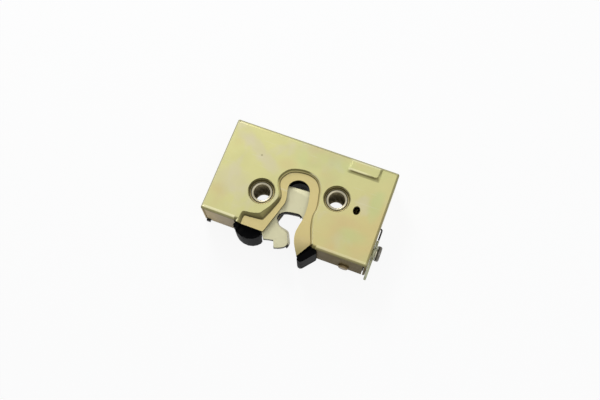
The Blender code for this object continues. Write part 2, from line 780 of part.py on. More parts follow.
def pad_mesh(name, inset, low, high):
    """The raised pad at the case's upper edge: three sloped sides and two round corners."""
    half = PAD_LENGTH / 2 - inset
    lower = HALF_HEIGHT - PAD_WIDTH + inset
    upper = HALF_HEIGHT - FOLD_RADIUS * 0.6 - inset
    radius = max(PAD_CORNER_RADIUS - inset, PAD_CORNER_RADIUS / 3)
    left = PAD_CENTRE_X - half
    right = PAD_CENTRE_X + half
    outline = [
        Vector((left, upper)),
        *arc((left + radius, lower + radius), radius, 180.0, 270.0, 6),
        *arc((right - radius, lower + radius), radius, 270.0, 360.0, 6),
        Vector((right, upper)),
    ]
    shape = bmesh.new()
    middle = Vector((PAD_CENTRE_X, (lower + upper) / 2))
    levels = [
        (0.0, low),
        (0.0, high - PAD_HEIGHT),
        (PAD_SLOPE, high - PAD_HEIGHT * 0.18),
        (PAD_ROLL, high),
    ]
    rings = []
    for shrink, level in levels:
        ring = []
        for point in outline:
            side = point - middle
            scale_x = 1.0 - shrink / half
            scale_y = 1.0 - shrink / (middle.y - lower)
            ring.append(shape.verts.new((middle.x + side.x * scale_x, middle.y + side.y * scale_y, level)))
        rings.append(ring)
    count = len(outline)
    for ring, following in zip(rings, rings[1:]):
        for index in range(count):
            nxt = (index + 1) % count
            shape.faces.new((ring[index], ring[nxt], following[nxt], following[index]))
    shape.faces.new(rings[0][::-1])
    shape.faces.new(rings[-1])
    return mesh_from(shape, name)


def across_wall(mesh):
    """Turns a mesh drawn in X and Y and raised along Z into one drawn in Y and Z and raised along X."""
    mesh.transform(Matrix(((0, 0, 1, 0), (1, 0, 0, 0), (0, 1, 0, 0), (0, 0, 0, 1))))
    return mesh


def shifted(points, offset):
    return [Vector(point) - Vector(offset) for point in points]


def beside(points, distance):
    """The open line moved sideways: to the left of its direction when the distance is positive."""
    moved = []
    for index, point in enumerate(points):
        before = Vector(points[max(index - 1, 0)])
        after = Vector(points[min(index + 1, len(points) - 1)])
        along = (after - before).normalized()
        moved.append(Vector(point) + Vector((-along.y, along.x)) * distance)
    return moved


def bent_path(points, radius, steps=4):
    """The open 3D path with each inner corner replaced by a curve that starts this far from it."""
    path = [Vector(points[0])]
    for before, corner, after in zip(points, points[1:], points[2:]):
        corner = Vector(corner)
        back = Vector(before) - corner
        ahead = Vector(after) - corner
        start = corner + back.normalized() * min(radius, back.length * 0.45)
        end = corner + ahead.normalized() * min(radius, ahead.length * 0.45)
        for step in range(steps + 1):
            t = step / steps
            path.append(start * (1 - t) ** 2 + corner * 2 * t * (1 - t) + end * t**2)
    path.append(Vector(points[-1]))
    return path


def coil_points(radius, start, turns, low, high, steps):
    """Points along a helix about Z that starts at this angle and climbs from low to high."""
    count = int(turns * steps)
    return [
        Vector((*polar(radius, start + 360.0 * turns * step / count), low + (high - low) * step / count))
        for step in range(count + 1)
    ]


def make_sleeve(name, axis, finish, root):
    """A threaded sleeve with the collar that holds it against the back plate."""
    front = DIMPLE_FLOOR + SLEEVE_PROUD
    collar_low = BACK_PLATE_FRONT + SEAT_GAP
    collar_high = collar_low + SLEEVE_COLLAR_LENGTH
    edge = SLEEVE_EDGE_BREAK
    profile = [
        (SLEEVE_BORE_RADIUS + edge, REAR),
        (SLEEVE_RADIUS - edge, REAR),
        (SLEEVE_RADIUS, REAR + edge),
        (SLEEVE_RADIUS, collar_low),
        (SLEEVE_COLLAR_RADIUS, collar_low),
        (SLEEVE_COLLAR_RADIUS, collar_high),
        (SLEEVE_RADIUS, collar_high),
        (SLEEVE_RADIUS, front - edge),
        (SLEEVE_RADIUS - edge, front),
        (SLEEVE_BORE_RADIUS + edge, front),
        (SLEEVE_BORE_RADIUS, front - edge),
        (SLEEVE_BORE_RADIUS, REAR + edge),
    ]
    return add_object(name, lathe_mesh(name, profile), finish, root, (*axis, 0.0))


def rear_slot_outline():
    """The slot through the back plate and the cover: the face's slot with a margin, open towards the mouth."""
    edge = [point for point in smooth_through(SLOT_EDGE, 3) if point.y > BOTTOM + 0.0030]
    wider = beside(edge, REAR_SLOT_MARGIN)
    mouth = BOTTOM - SHEET
    return [*wider, Vector((wider[-1].x, mouth)), Vector((wider[0].x, mouth))]


def make_back_plate(finish, root):
    half_x = HALF_LENGTH - BACK_PLATE_INSET
    half_y = HALF_HEIGHT - BACK_PLATE_INSET
    corners = [(-half_x, -half_y), (half_x, -half_y), (half_x, half_y), (-half_x, half_y)]
    mesh = prism_mesh("back_plate", rounded(corners, PLATE_CORNER, 3), BACK_PLATE_REAR, BACK_PLATE_FRONT)
    plate = add_object("back_plate", mesh, finish, root)
    low = BACK_PLATE_REAR - SHEET
    high = BACK_PLATE_FRONT + SHEET
    cut(plate, helper("plate_slot", prism_mesh("plate_slot", rear_slot_outline(), low, high), root))
    holes = [
        ("plate_fork_hole", FORK_AXIS, SLEEVE_RADIUS + RUNNING_GAP),
        ("plate_pawl_hole", PAWL_AXIS, SLEEVE_RADIUS + RUNNING_GAP),
        ("plate_fork_anchor", FORK_AXIS + polar(ANCHOR_RADIUS, FORK_ANCHOR_ANGLE), FORK_WIRE_RADIUS + LEG_HOLE_GAP),
        ("plate_pawl_anchor", PAWL_AXIS + polar(ANCHOR_RADIUS, PAWL_ANCHOR_ANGLE), PAWL_WIRE_RADIUS + LEG_HOLE_GAP),
        ("plate_stop_hole", STOP_PIN, STOP_PIN_RADIUS + RUNNING_GAP),
    ]
    for name, centre, radius in holes:
        steps = ROUND_STEPS if radius > PLATE_CORNER else ROUND_STEPS // 3
        cut(plate, helper(name, lathe_mesh(name, rod_profile(radius, low, high), steps), root, (*centre, 0.0)))
    return plate


def make_rear_cover(finish, root):
    """The plastic cover, with the clip that snaps into the case's lower left corner."""
    inset = SHEET + SEAT_GAP
    half_x = HALF_LENGTH - inset
    half_y = HALF_HEIGHT - inset
    corners = [(-half_x, -half_y), (half_x, -half_y), (half_x, half_y), (-half_x, half_y)]
    mesh = prism_mesh("rear_cover", rounded(corners, CORNER_RADIUS, 3), REAR, COVER_FRONT)
    cover = add_object("rear_cover", mesh, finish, root)
    low = REAR - SHEET
    high = COVER_FRONT + SHEET
    cut(cover, helper("cover_slot", prism_mesh("cover_slot", rear_slot_outline(), low, high), root))
    for name, centre in (("cover_fork_hole", FORK_AXIS), ("cover_pawl_hole", PAWL_AXIS)):
        mesh = lathe_mesh(name, rod_profile(SLEEVE_RADIUS + SEAT_GAP, low, high))
        cut(cover, helper(name, mesh, root, (*centre, 0.0)))
    clip = box_mesh(
        "cover_clip",
        (CLIP_LEFT, BOTTOM - CLIP_PROUD, REAR),
        (CLIP_RIGHT, BOTTOM + 2 * SHEET, REAR + CLIP_HEIGHT),
    )
    fuse(cover, helper("cover_clip", clip, root))
    return cover


def fork_mouth_line():
    return smooth_through(FORK_MOUTH_EDGE, 2)


def fork_outline():
    """The open fork's outline, clockwise from below its hub."""
    axis = FORK_AXIS
    steps = 20
    hub = arc(axis, FORK_HUB_RADIUS, -75.0, -300.0, steps)
    corner = axis + polar(FORK_RIM_RADIUS, 19.0)
    back = [Vector(point) for point in FORK_BACK_EDGE]
    nose = [
        corner + (back[-1] - corner).normalized() * 0.0018,
        corner + (back[-1] - corner).normalized() * 0.0006 + polar(0.0005, -71.0),
        axis + polar(FORK_RIM_RADIUS, 17.6),
        axis + polar(FORK_RIM_RADIUS, 15.6),
    ]
    inner = FORK_RIM_RADIUS - CATCH_DEPTH
    rim = arc(axis, FORK_RIM_RADIUS, 12.6, SAFETY_CATCH_START, 3)
    safety = [axis + polar(inner, SAFETY_CATCH_END), axis + polar(FORK_RIM_RADIUS, SAFETY_RAMP_END)]
    rim_below = arc(axis, FORK_RIM_RADIUS, SAFETY_RAMP_END, MAIN_CATCH_START, 2)[1:]
    catch = [axis + polar(inner, MAIN_CATCH_END)]
    jaw = [Vector(point) for point in FORK_JAW_EDGE]
    return [*hub, *back, *nose, *rim, *safety, *rim_below, *catch, *fork_mouth_line(), *jaw]


def make_fork(steel, black, root):
    """The latch fork with its sleeve bore and spring hole, and the black liner along its mouth."""
    outline = shifted(fork_outline(), FORK_AXIS)
    mesh = prism_mesh("latch_fork", outline, FORK_BACK, FORK_FRONT, FORK_EDGE_BREAK, 1)
    fork = add_object("latch_fork", mesh, steel, root, (*FORK_AXIS, 0.0))
    low = FORK_BACK - SHEET
    high = FORK_FRONT + SHEET
    bore = lathe_mesh("fork_bore", rod_profile(SLEEVE_RADIUS + RUNNING_GAP, low, high))
    cut(fork, helper("fork_bore", bore, fork))
    leg = lathe_mesh("fork_leg_hole", rod_profile(FORK_WIRE_RADIUS + LEG_HOLE_GAP, low, high), ROUND_STEPS // 3)
    cut(fork, helper("fork_leg_hole", leg, fork, (*polar(FORK_LEG_RADIUS, FORK_LEG_ANGLE), 0.0)))

    line = shifted(fork_mouth_line()[1:-3], FORK_AXIS)
    liner_outline = [*beside(line, LINER_GAP), *beside(line, LINER_GAP + LINER_THICKNESS)[::-1]]
    middle = (FORK_FRONT + FORK_BACK) / 2
    mesh = prism_mesh("fork_liner", liner_outline, middle - LINER_DEPTH / 2, middle + LINER_DEPTH / 2)
    add_object("fork_liner", mesh, black, fork)
    return fork


def catch_points():
    """The main catch's inner and outer points with the fork closed."""
    inner = FORK_AXIS + polar(FORK_RIM_RADIUS - CATCH_DEPTH, MAIN_CATCH_END + FORK_TRAVEL)
    outer = FORK_AXIS + polar(FORK_RIM_RADIUS, MAIN_CATCH_START + FORK_TRAVEL)
    return inner, outer


def make_pawl(steel, root):
    """The pawl in its lifted pose. Its nose is drawn against the closed fork's catch, then turned by the lift."""
    inner, outer = catch_points()
    along = (outer - inner).normalized()
    across = Vector((along.y, -along.x))
    nose = [
        inner + across * PAWL_NOSE_GAP + along * PAWL_NOSE_HIGH,
        inner + across * PAWL_NOSE_GAP + along * PAWL_NOSE_LOW,
        FORK_AXIS + polar(PAWL_TOOTH_RADIUS, PAWL_TOOTH_ANGLE),
    ]
    lifted = [turned(point - PAWL_AXIS, -PAWL_LIFT) for point in nose]
    centre = (0.0, 0.0)
    tail = shifted(PAWL_TAIL_EDGE, PAWL_AXIS)
    outline = [
        *arc(centre, PAWL_HUB_RADIUS, PAWL_LOWER_TANGENT, PAWL_TAIL_START, 12),
        *tail,
        *arc(centre, PAWL_HUB_RADIUS, PAWL_TAIL_END, PAWL_UPPER_TANGENT + 360.0, 13),
        *lifted,
    ]
    mesh = prism_mesh("pawl", outline, PAWL_BACK, FORK_FRONT, FORK_EDGE_BREAK, 1)
    pawl = add_object("pawl", mesh, steel, root, (*PAWL_AXIS, 0.0))
    low = PAWL_BACK - SHEET
    high = FORK_FRONT + SHEET
    bore = lathe_mesh("pawl_bore", rod_profile(SLEEVE_RADIUS + RUNNING_GAP, low, high))
    cut(pawl, helper("pawl_bore", bore, pawl))
    leg = lathe_mesh("pawl_leg_hole", rod_profile(PAWL_WIRE_RADIUS + LEG_HOLE_GAP, low, high), ROUND_STEPS // 3)
    cut(pawl, helper("pawl_leg_hole", leg, pawl, (*polar(PAWL_LEG_RADIUS, PAWL_LEG_ANGLE), 0.0)))
    return pawl


def make_pivot_trim(name, axis, steel, plastic, root):
    """The washer in front of a moving plate and the bush that carries its spring behind it."""
    high = DRAWN_INSIDE - PIVOT_WASHER_GAP
    inner = SLEEVE_RADIUS + RUNNING_GAP
    ring = ring_profile(inner, PIVOT_WASHER_RADIUS, high - PIVOT_WASHER_THICKNESS, high)
    add_object(f"{name}_washer", lathe_mesh(f"{name}_washer", ring), steel, root, (*axis, 0.0))
    tube = inner + BUSH_WALL
    profile = [
        (inner, BUSH_REAR),
        (BUSH_FLANGE_RADIUS, BUSH_REAR),
        (BUSH_FLANGE_RADIUS, BUSH_REAR + BUSH_WALL),
        (tube, BUSH_REAR + BUSH_WALL),
        (tube, BUSH_FRONT),
        (inner, BUSH_FRONT),
    ]
    bush = f"{name}_spring_bush"
    add_object(bush, lathe_mesh(bush, profile), plastic, root, (*axis, 0.0))


def make_pivot_spring(name, axis, wire, leg, anchor, finish, root):
    """A torsion spring: its front leg enters the moving plate and its rear leg the back plate."""
    leg_radius, leg_angle = leg
    turns = COIL_TURNS + ((leg_angle - anchor) % 360.0) / 360.0
    coil = coil_points(COIL_RADIUS, anchor, turns, COIL_REAR, COIL_FRONT, COIL_STEPS)
    rear_end = polar(ANCHOR_RADIUS, anchor)
    front_end = polar(leg_radius, leg_angle)
    rear_leg = [
        Vector((*rear_end, BACK_PLATE_REAR)),
        Vector((*rear_end, COIL_REAR)),
    ]
    front_leg = [
        Vector((*front_end, COIL_FRONT)),
        Vector((*front_end, LEG_END_Z)),
    ]
    if (front_leg[0] - coil[-1]).length < wire * 2:
        front_leg = front_leg[1:]
    start = bent_path([*rear_leg, coil[0], coil[1]], wire * 1.6, 3)
    end = bent_path([coil[-2], coil[-1], *front_leg], wire * 1.6, 3)
    spring = wire_object(name, [*start, *coil[2:-2], *end], wire, finish, root)
    spring.location = (*axis, 0.0)
    return spring


def lever_outline():
    """The lever in its own plane: lower arm, hub, spring tab and the lobe that carries the finger."""
    half = LEVER_ARM_WIDTH / 2
    hub = LEVER_HUB_RADIUS
    side = math.degrees(math.asin(half / hub))
    lobe_centre = polar(FINGER_ARM, FINGER_ANGLE)
    lobe_side = math.degrees(math.asin(LEVER_LOBE_RADIUS / hub))
    tab_low = LEVER_TAB_ANGLE - LEVER_TAB_SPREAD
    tab_high = LEVER_TAB_ANGLE + LEVER_TAB_SPREAD
    centre = (0.0, 0.0)
    return [
        *arc((-LEVER_ARM_LENGTH, 0.0), half, 90.0, 270.0, 12),
        *arc(centre, hub, 180.0 + side, 360.0 + tab_low - 6.0, 12),
        *arc(centre, LEVER_TAB_RADIUS, tab_low, tab_high, 4),
        *arc(centre, hub, tab_high + 6.0, FINGER_ANGLE - lobe_side, 2),
        *arc(lobe_centre, LEVER_LOBE_RADIUS, FINGER_ANGLE - 90.0, FINGER_ANGLE + 90.0, 10),
        *arc(centre, hub, FINGER_ANGLE + lobe_side, 180.0 - side, 1),
    ]


def make_lever(steel, root):
    """The release lever with its finger, washer and rivet on the right wall."""
    pivot = (0.0, LEVER_AXIS_Y, LEVER_AXIS_Z)
    low = RIGHT_WALL + LEVER_WALL_GAP
    high = low + LEVER_THICKNESS
    mesh = across_wall(prism_mesh("release_lever", lever_outline(), low, high, FORK_EDGE_BREAK, 1))
    lever = add_object("release_lever", mesh, steel, root, pivot)
    finger_place = polar(FINGER_ARM, FINGER_ANGLE)
    holes = [
        ("lever_pivot_hole", (0.0, 0.0), RIVET_SHANK_RADIUS + RUNNING_GAP),
        ("lever_finger_hole", finger_place, FINGER_RADIUS + RUNNING_GAP),
        ("lever_arm_hole", (-LEVER_ARM_LENGTH, 0.0), LEVER_ARM_HOLE_RADIUS),
    ]
    for name, centre, radius in holes:
        mesh = along_x(lathe_mesh(name, rod_profile(radius, low - SHEET, high + SHEET), ROUND_STEPS // 2))
        cut(lever, helper(name, mesh, lever, (0.0, *centre)))

    head = high + RUNNING_GAP
    finger_profile = [
        (0.0, FINGER_TIP_X),
        (FINGER_RADIUS - SLEEVE_EDGE_BREAK, FINGER_TIP_X),
        (FINGER_RADIUS, FINGER_TIP_X + SLEEVE_EDGE_BREAK),
        (FINGER_RADIUS, head),
        (FINGER_HEAD_RADIUS, head),
        (FINGER_HEAD_RADIUS, head + FINGER_HEAD_THICKNESS * 0.6),
        (FINGER_HEAD_RADIUS * 0.7, head + FINGER_HEAD_THICKNESS),
        (0.0, head + FINGER_HEAD_THICKNESS),
    ]
    mesh = along_x(lathe_mesh("lever_finger", finger_profile, ROUND_STEPS // 2))
    add_object("lever_finger", mesh, steel, lever, (0.0, *finger_place))
    return lever


def make_lever_rivet(dark, steel, root):
    pivot = (0.0, LEVER_AXIS_Y, LEVER_AXIS_Z)
    washer_low = RIGHT_WALL + LEVER_WALL_GAP + LEVER_THICKNESS + RUNNING_GAP
    washer_high = washer_low + WASHER_THICKNESS
    ring = ring_profile(RIVET_SHANK_RADIUS + RUNNING_GAP, LEVER_WASHER_RADIUS, washer_low, washer_high)
    mesh = along_x(lathe_mesh("lever_washer", ring, ROUND_STEPS // 2 + 8))
    add_object("lever_washer", mesh, steel, root, pivot)
    head_low = washer_high + RUNNING_GAP
    head_high = head_low + RIVET_HEAD_THICKNESS
    profile = [
        (0.0, RIVET_TAIL_X),
        (RIVET_TAIL_RADIUS * 0.8, RIVET_TAIL_X),
        (RIVET_TAIL_RADIUS, RIVET_TAIL_X + RIVET_TAIL_THICKNESS * 0.4),
        (RIVET_TAIL_RADIUS, RIVET_TAIL_X + RIVET_TAIL_THICKNESS),
        (RIVET_SHANK_RADIUS, RIVET_TAIL_X + RIVET_TAIL_THICKNESS),
        (RIVET_SHANK_RADIUS, head_low),
        (RIVET_HEAD_RADIUS, head_low),
        (RIVET_HEAD_RADIUS, head_high - RIVET_HEAD_THICKNESS * 0.35),
        (RIVET_HEAD_RADIUS * 0.92, head_high - RIVET_HEAD_THICKNESS * 0.12),
        (RIVET_HEAD_RADIUS * 0.78, head_high),
        (0.0, head_high),
    ]
    mesh = along_x(lathe_mesh("lever_rivet", profile, ROUND_STEPS - 8))
    return add_object("lever_rivet", mesh, dark, root, pivot)


def make_lever_spring(finish, root):
    """The lever's spring: a coil on the rivet inside the wall, whose outer leg leaves the wall and hooks the lever."""
    coil = coil_points(LEVER_COIL_RADIUS, 90.0, COIL_TURNS, LEVER_COIL_START_X, LEVER_COIL_END_X, 16)
    wound = [Vector((point.z, LEVER_AXIS_Y - point.x, LEVER_AXIS_Z + point.y)) for point in coil]
    level = LEVER_AXIS_Z + LEVER_COIL_RADIUS
    rest = Vector((LEVER_COIL_START_X, SPRING_REST_Y, level))
    hook = [
        wound[-1],
        Vector((LEVER_COIL_END_X, HOOK_Y, level)),
        Vector((HOOK_X, HOOK_Y, level)),
        Vector((HOOK_X, HOOK_END_Y, level)),
    ]
    path = [rest, *wound[:-1], *bent_path(hook, LEVER_WIRE_RADIUS * 2.4, 3)]
    return wire_object("lever_spring", path, LEVER_WIRE_RADIUS, finish, root)


def make_buffer(name, edge, front, block, rubber, root):
    """A rubber buffer: the outline outside the case at full depth, and a block inside that rests on the back plate."""
    mesh = prism_mesh(name, [Vector(point) for point in edge], REAR, front, 0.0004, 1)
    buffer = add_object(name, mesh, rubber, root)
    seat = prism_mesh(f"{name}_block", block, BUFFER_INNER_REAR, LEFT_BUFFER_FRONT - SEAT_GAP)
    fuse(buffer, helper(f"{name}_block", seat, root))
    return buffer


def make_buffers(rubber, root):
    inside = BOTTOM + SHEET
    block = [(-0.0290, -0.0300), (-0.0152, -0.0300), (-0.0152, inside), (-0.0160, -0.0252), (-0.0280, -0.0252)]
    left = make_buffer("left_buffer", LEFT_BUFFER_EDGE, LEFT_BUFFER_FRONT, block, rubber, root)
    knob = lathe_mesh("buffer_knob", rod_profile(KNOB_RADIUS, LEFT_BUFFER_FRONT - SHEET, KNOB_TOP), ROUND_STEPS // 2)
    fuse(left, helper("buffer_knob", knob, root, (KNOB_X, KNOB_Y, 0.0)))
    near = inside + SEAT_GAP
    block = [
        (0.0186, -0.0296),
        (0.0203, -0.0296),
        (0.0203, near),
        (0.0240, near),
        (0.0240, -0.0254),
        (0.0188, -0.0254),
    ]
    right = make_buffer("right_buffer", RIGHT_BUFFER_EDGE, RIGHT_BUFFER_FRONT, block, rubber, root)
    shelf_top = RECESS_FLOOR - TONGUE_DROP - SHEET - SEAT_GAP
    points = [Vector(point) for point in RIGHT_SHELF_EDGE]
    shelf = prism_mesh("right_buffer_shelf", points, shelf_top - RIGHT_SHELF_DEPTH, shelf_top)
    fuse(right, helper("right_buffer_shelf", shelf, root))
    centre = (END_BUFFER_X, END_BUFFER_Y)
    crescent = [
        *arc(centre, END_BUFFER_OUTER, END_BUFFER_START, END_BUFFER_END, 18),
        *arc(centre, END_BUFFER_INNER, END_BUFFER_END, END_BUFFER_START, 18),
    ]
    mesh = prism_mesh("end_buffer", crescent, BUFFER_INNER_REAR, END_BUFFER_FRONT, 0.0005, 2)
    add_object("end_buffer", mesh, rubber, root)


def make_pins(steel, root):
    """The stud on the lower wall and the pin on the back plate that stops the pawl."""
    inner = -SHEET - RUNNING_GAP
    profile = [
        (0.0, inner - STUD_TAIL_THICKNESS),
        (STUD_TAIL_RADIUS, inner - STUD_TAIL_THICKNESS),
        (STUD_TAIL_RADIUS, inner),
        (STUD_SHANK_RADIUS, inner),
        (STUD_SHANK_RADIUS, RUNNING_GAP),
        (STUD_HEAD_RADIUS, RUNNING_GAP),
        (STUD_HEAD_RADIUS, STUD_HEAD_HEIGHT * 0.6),
        (STUD_HEAD_RADIUS * 0.8, STUD_HEAD_HEIGHT),
        (0.0, STUD_HEAD_HEIGHT),
    ]
    mesh = along_minus_y(lathe_mesh("wall_stud", profile, ROUND_STEPS // 2 + 8))
    add_object("wall_stud", mesh, steel, root, (STUD_X, BOTTOM, STUD_Z))
    collar = BACK_PLATE_FRONT + RUNNING_GAP
    profile = [
        (0.0, BACK_PLATE_REAR),
        (STOP_PIN_RADIUS, BACK_PLATE_REAR),
        (STOP_PIN_RADIUS, collar),
        (STOP_PIN_COLLAR_RADIUS, collar),
        (STOP_PIN_COLLAR_RADIUS, collar + STOP_PIN_COLLAR_LENGTH),
        (STOP_PIN_RADIUS, collar + STOP_PIN_COLLAR_LENGTH),
        (STOP_PIN_RADIUS, FORK_FRONT - SLEEVE_EDGE_BREAK),
        (STOP_PIN_RADIUS - SLEEVE_EDGE_BREAK, FORK_FRONT),
        (0.0, FORK_FRONT),
    ]
    mesh = lathe_mesh("pawl_stop", profile, ROUND_STEPS // 2)
    add_object("pawl_stop", mesh, steel, root, (*STOP_PIN, 0.0))


def stand_on_origin(root):
    """Moves the root so that the whole lock stands on the origin, centred over it."""
    bpy.context.view_layer.update()
    graph = bpy.context.evaluated_depsgraph_get()
    lows = []
    highs = []
    for thing in bpy.data.objects:
        if thing.type == "EMPTY" or thing.hide_render:
            continue
        evaluated = thing.evaluated_get(graph)
        corners = [evaluated.matrix_world @ vertex.co for vertex in evaluated.to_mesh().vertices]
        lows.append([min(corner[axis] for corner in corners) for axis in range(3)])
        highs.append([max(corner[axis] for corner in corners) for axis in range(3)])
        evaluated.to_mesh_clear()
    low = [min(values) for values in zip(*lows)]
    high = [max(values) for values in zip(*highs)]
    root.location = (-(low[0] + high[0]) / 2, -(low[1] + high[1]) / 2, -low[2])


def main():
    clear_scene()
    root = bpy.data.objects.new("lock_frame", None)
    bpy.context.scene.collection.objects.link(root)
    yellow_steel = material("yellow_passivated_steel", (0.62, 0.58, 0.27), 0.36, 0.7)
    fork_steel = material("fork_steel", (0.66, 0.63, 0.50), 0.4, 0.6)
    dark_steel = material("dark_steel", (0.10, 0.10, 0.10), 0.35, 0.8)
    spring_steel = material("spring_steel", (0.14, 0.14, 0.13), 0.4, 0.8)
    black_plastic = material("black_plastic", (0.03, 0.03, 0.032), 0.5, 0.0)
    rubber = material("black_rubber", (0.02, 0.02, 0.02), 0.6, 0.0)

    make_case(yellow_steel, root)
    make_back_plate(yellow_steel, root)
    make_rear_cover(black_plastic, root)
    for name, axis in (("fork", FORK_AXIS), ("pawl", PAWL_AXIS)):
        make_sleeve(f"{name}_sleeve", axis, yellow_steel, root)
        make_pivot_trim(name, axis, fork_steel, black_plastic, root)
    make_fork(fork_steel, black_plastic, root)
    make_pawl(fork_steel, root)
    leg = (FORK_LEG_RADIUS, FORK_LEG_ANGLE)
    make_pivot_spring("fork_spring", FORK_AXIS, FORK_WIRE_RADIUS, leg, FORK_ANCHOR_ANGLE, spring_steel, root)
    leg = (PAWL_LEG_RADIUS, PAWL_LEG_ANGLE)
    make_pivot_spring("pawl_spring", PAWL_AXIS, PAWL_WIRE_RADIUS, leg, PAWL_ANCHOR_ANGLE, spring_steel, root)
    make_lever(fork_steel, root)
    make_lever_rivet(dark_steel, fork_steel, root)
    make_lever_spring(spring_steel, root)
    make_buffers(rubber, root)
    make_pins(yellow_steel, root)
    stand_on_origin(root)


main()
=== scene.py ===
"""A side-door rotary car lock on a pale floor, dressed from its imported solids.

Lengths are in metres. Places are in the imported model's frame, or are measured from the middle of the case's
face where that is said. The case's sizes are repeated here from the part.
"""

import logging
import math
from dataclasses import dataclass, field
from enum import Enum
from typing import Any, Mapping, Sequence, Union

import bmesh
import bpy
import numpy as np
from mathutils import Matrix, Vector

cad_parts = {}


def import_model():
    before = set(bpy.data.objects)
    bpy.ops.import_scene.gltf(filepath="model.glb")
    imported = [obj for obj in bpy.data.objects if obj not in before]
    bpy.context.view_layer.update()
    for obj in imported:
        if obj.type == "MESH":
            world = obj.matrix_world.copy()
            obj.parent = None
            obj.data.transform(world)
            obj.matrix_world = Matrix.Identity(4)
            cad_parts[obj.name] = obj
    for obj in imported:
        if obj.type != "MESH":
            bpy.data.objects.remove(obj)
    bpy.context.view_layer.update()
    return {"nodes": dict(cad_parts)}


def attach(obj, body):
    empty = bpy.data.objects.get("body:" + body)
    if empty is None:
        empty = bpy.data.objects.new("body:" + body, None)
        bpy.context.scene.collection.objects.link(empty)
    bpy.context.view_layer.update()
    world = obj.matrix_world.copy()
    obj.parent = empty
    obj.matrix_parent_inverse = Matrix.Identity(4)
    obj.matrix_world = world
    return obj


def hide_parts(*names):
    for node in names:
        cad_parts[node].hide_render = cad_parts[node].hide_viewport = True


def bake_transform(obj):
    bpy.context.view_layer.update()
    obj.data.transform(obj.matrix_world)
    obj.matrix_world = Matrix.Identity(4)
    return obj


LOG = logging.getLogger("door_lock")

# The middle of the case's face in the frame, half the case's sides, and the sleeves' places from that middle
CASE_MIDDLE = (-0.00245, 0.00475, 0.0223)
HALF_LENGTH = 0.0510
HALF_HEIGHT = 0.0298
SLEEVE_PLACES = {
    "fork_sleeve": (-0.0210, -0.00835),
    "pawl_sleeve": (0.02165, 0.00236),
}

# The heights between which the fork's and the pawl's springs are wound
SPRING_COIL = (0.0089, 0.0125)

Number = Union[float, "Link"]
Colour = tuple[float, float, float]
Place = tuple[float, float, float]
Point = tuple[float, float]
Span = tuple[float, float]


class Body(Enum):
    """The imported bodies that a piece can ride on."""

    CASE = "case"
    FORK = "fork"
    PAWL = "pawl"
    LEVER = "lever"


class Slot(Enum):
    """The record's material slots."""

    YELLOW_STEEL = "yellow_steel"
    SLEEVE_STEEL = "sleeve_steel"
    FORK_STEEL = "fork_steel"
    DARK_STEEL = "dark_steel"
    SPRING_STEEL = "spring_steel"
    BLACK_PLASTIC = "black_plastic"
    RUBBER = "rubber"


@dataclass(frozen=True)
class Grain:
    """A layer of noise: waves in a metre, finer layers and their share, and factors on X, Y and Z.

    Where a span is given, a smooth step between its ends parts the noise into patches.
    """

    scale: float
    detail: float = 3.0
    roughness: float = 0.5
    stretch: Place = (1.0, 1.0, 1.0)
    span: Span | None = None
    strength: float = 1.0


class Link:
    """A shader socket that takes part in sums, products and comparisons by adding Math nodes."""

    def __init__(self, nodes: "Nodes", socket: bpy.types.NodeSocket) -> None:
        """Keeps the nodes that the socket belongs to, and the socket."""
        self.nodes = nodes
        self.socket = socket

    def _math(self, operation: str, first: Number, second: Number = 0.0) -> "Link":
        """One Math node on these two values."""
        return self.nodes.node("ShaderNodeMath", {"operation": operation}, {0: first, 1: second})

    def __add__(self, other: Number) -> "Link":
        """This value plus the other."""
        return self._math("ADD", self, other)

    __radd__ = __add__

    def __sub__(self, other: Number) -> "Link":
        """This value less the other."""
        return self._math("SUBTRACT", self, other)

    def __rsub__(self, other: Number) -> "Link":
        """The other value less this one."""
        return self._math("SUBTRACT", other, self)

    def __mul__(self, other: Number) -> "Link":
        """This value times the other."""
        return self._math("MULTIPLY", self, other)

    __rmul__ = __mul__

    def __pow__(self, other: Number) -> "Link":
        """This value raised to the other."""
        return self._math("POWER", self, other)

    def __abs__(self) -> "Link":
        """The value without its sign."""
        return self._math("ABSOLUTE", self)

    def sine(self) -> "Link":
        """The sine of this value."""
        return self._math("SINE", self)

    def over(self, other: Number) -> "Link":
        """The larger of this value and the other."""
        return self._math("MAXIMUM", self, other)

    def under(self, other: Number) -> "Link":
        """The smaller of this value and the other."""
        return self._math("MINIMUM", self, other)

    def step(self, low: float, high: float) -> "Link":
        """A smooth step: 0 below low, 1 above high. With low above high it falls.

        Args:
            low: where the step begins.
            high: where it ends.

        Returns:
            The step's value, from 0 to 1.
        """
        settings = {"interpolation_type": "SMOOTHSTEP", "clamp": True}
        if low < high:
            inputs = {0: self, 1: low, 2: high, 3: 0.0, 4: 1.0}
        else:
            inputs = {0: self, 1: high, 2: low, 3: 1.0, 4: 0.0}
        return self.nodes.node("ShaderNodeMapRange", settings, inputs)


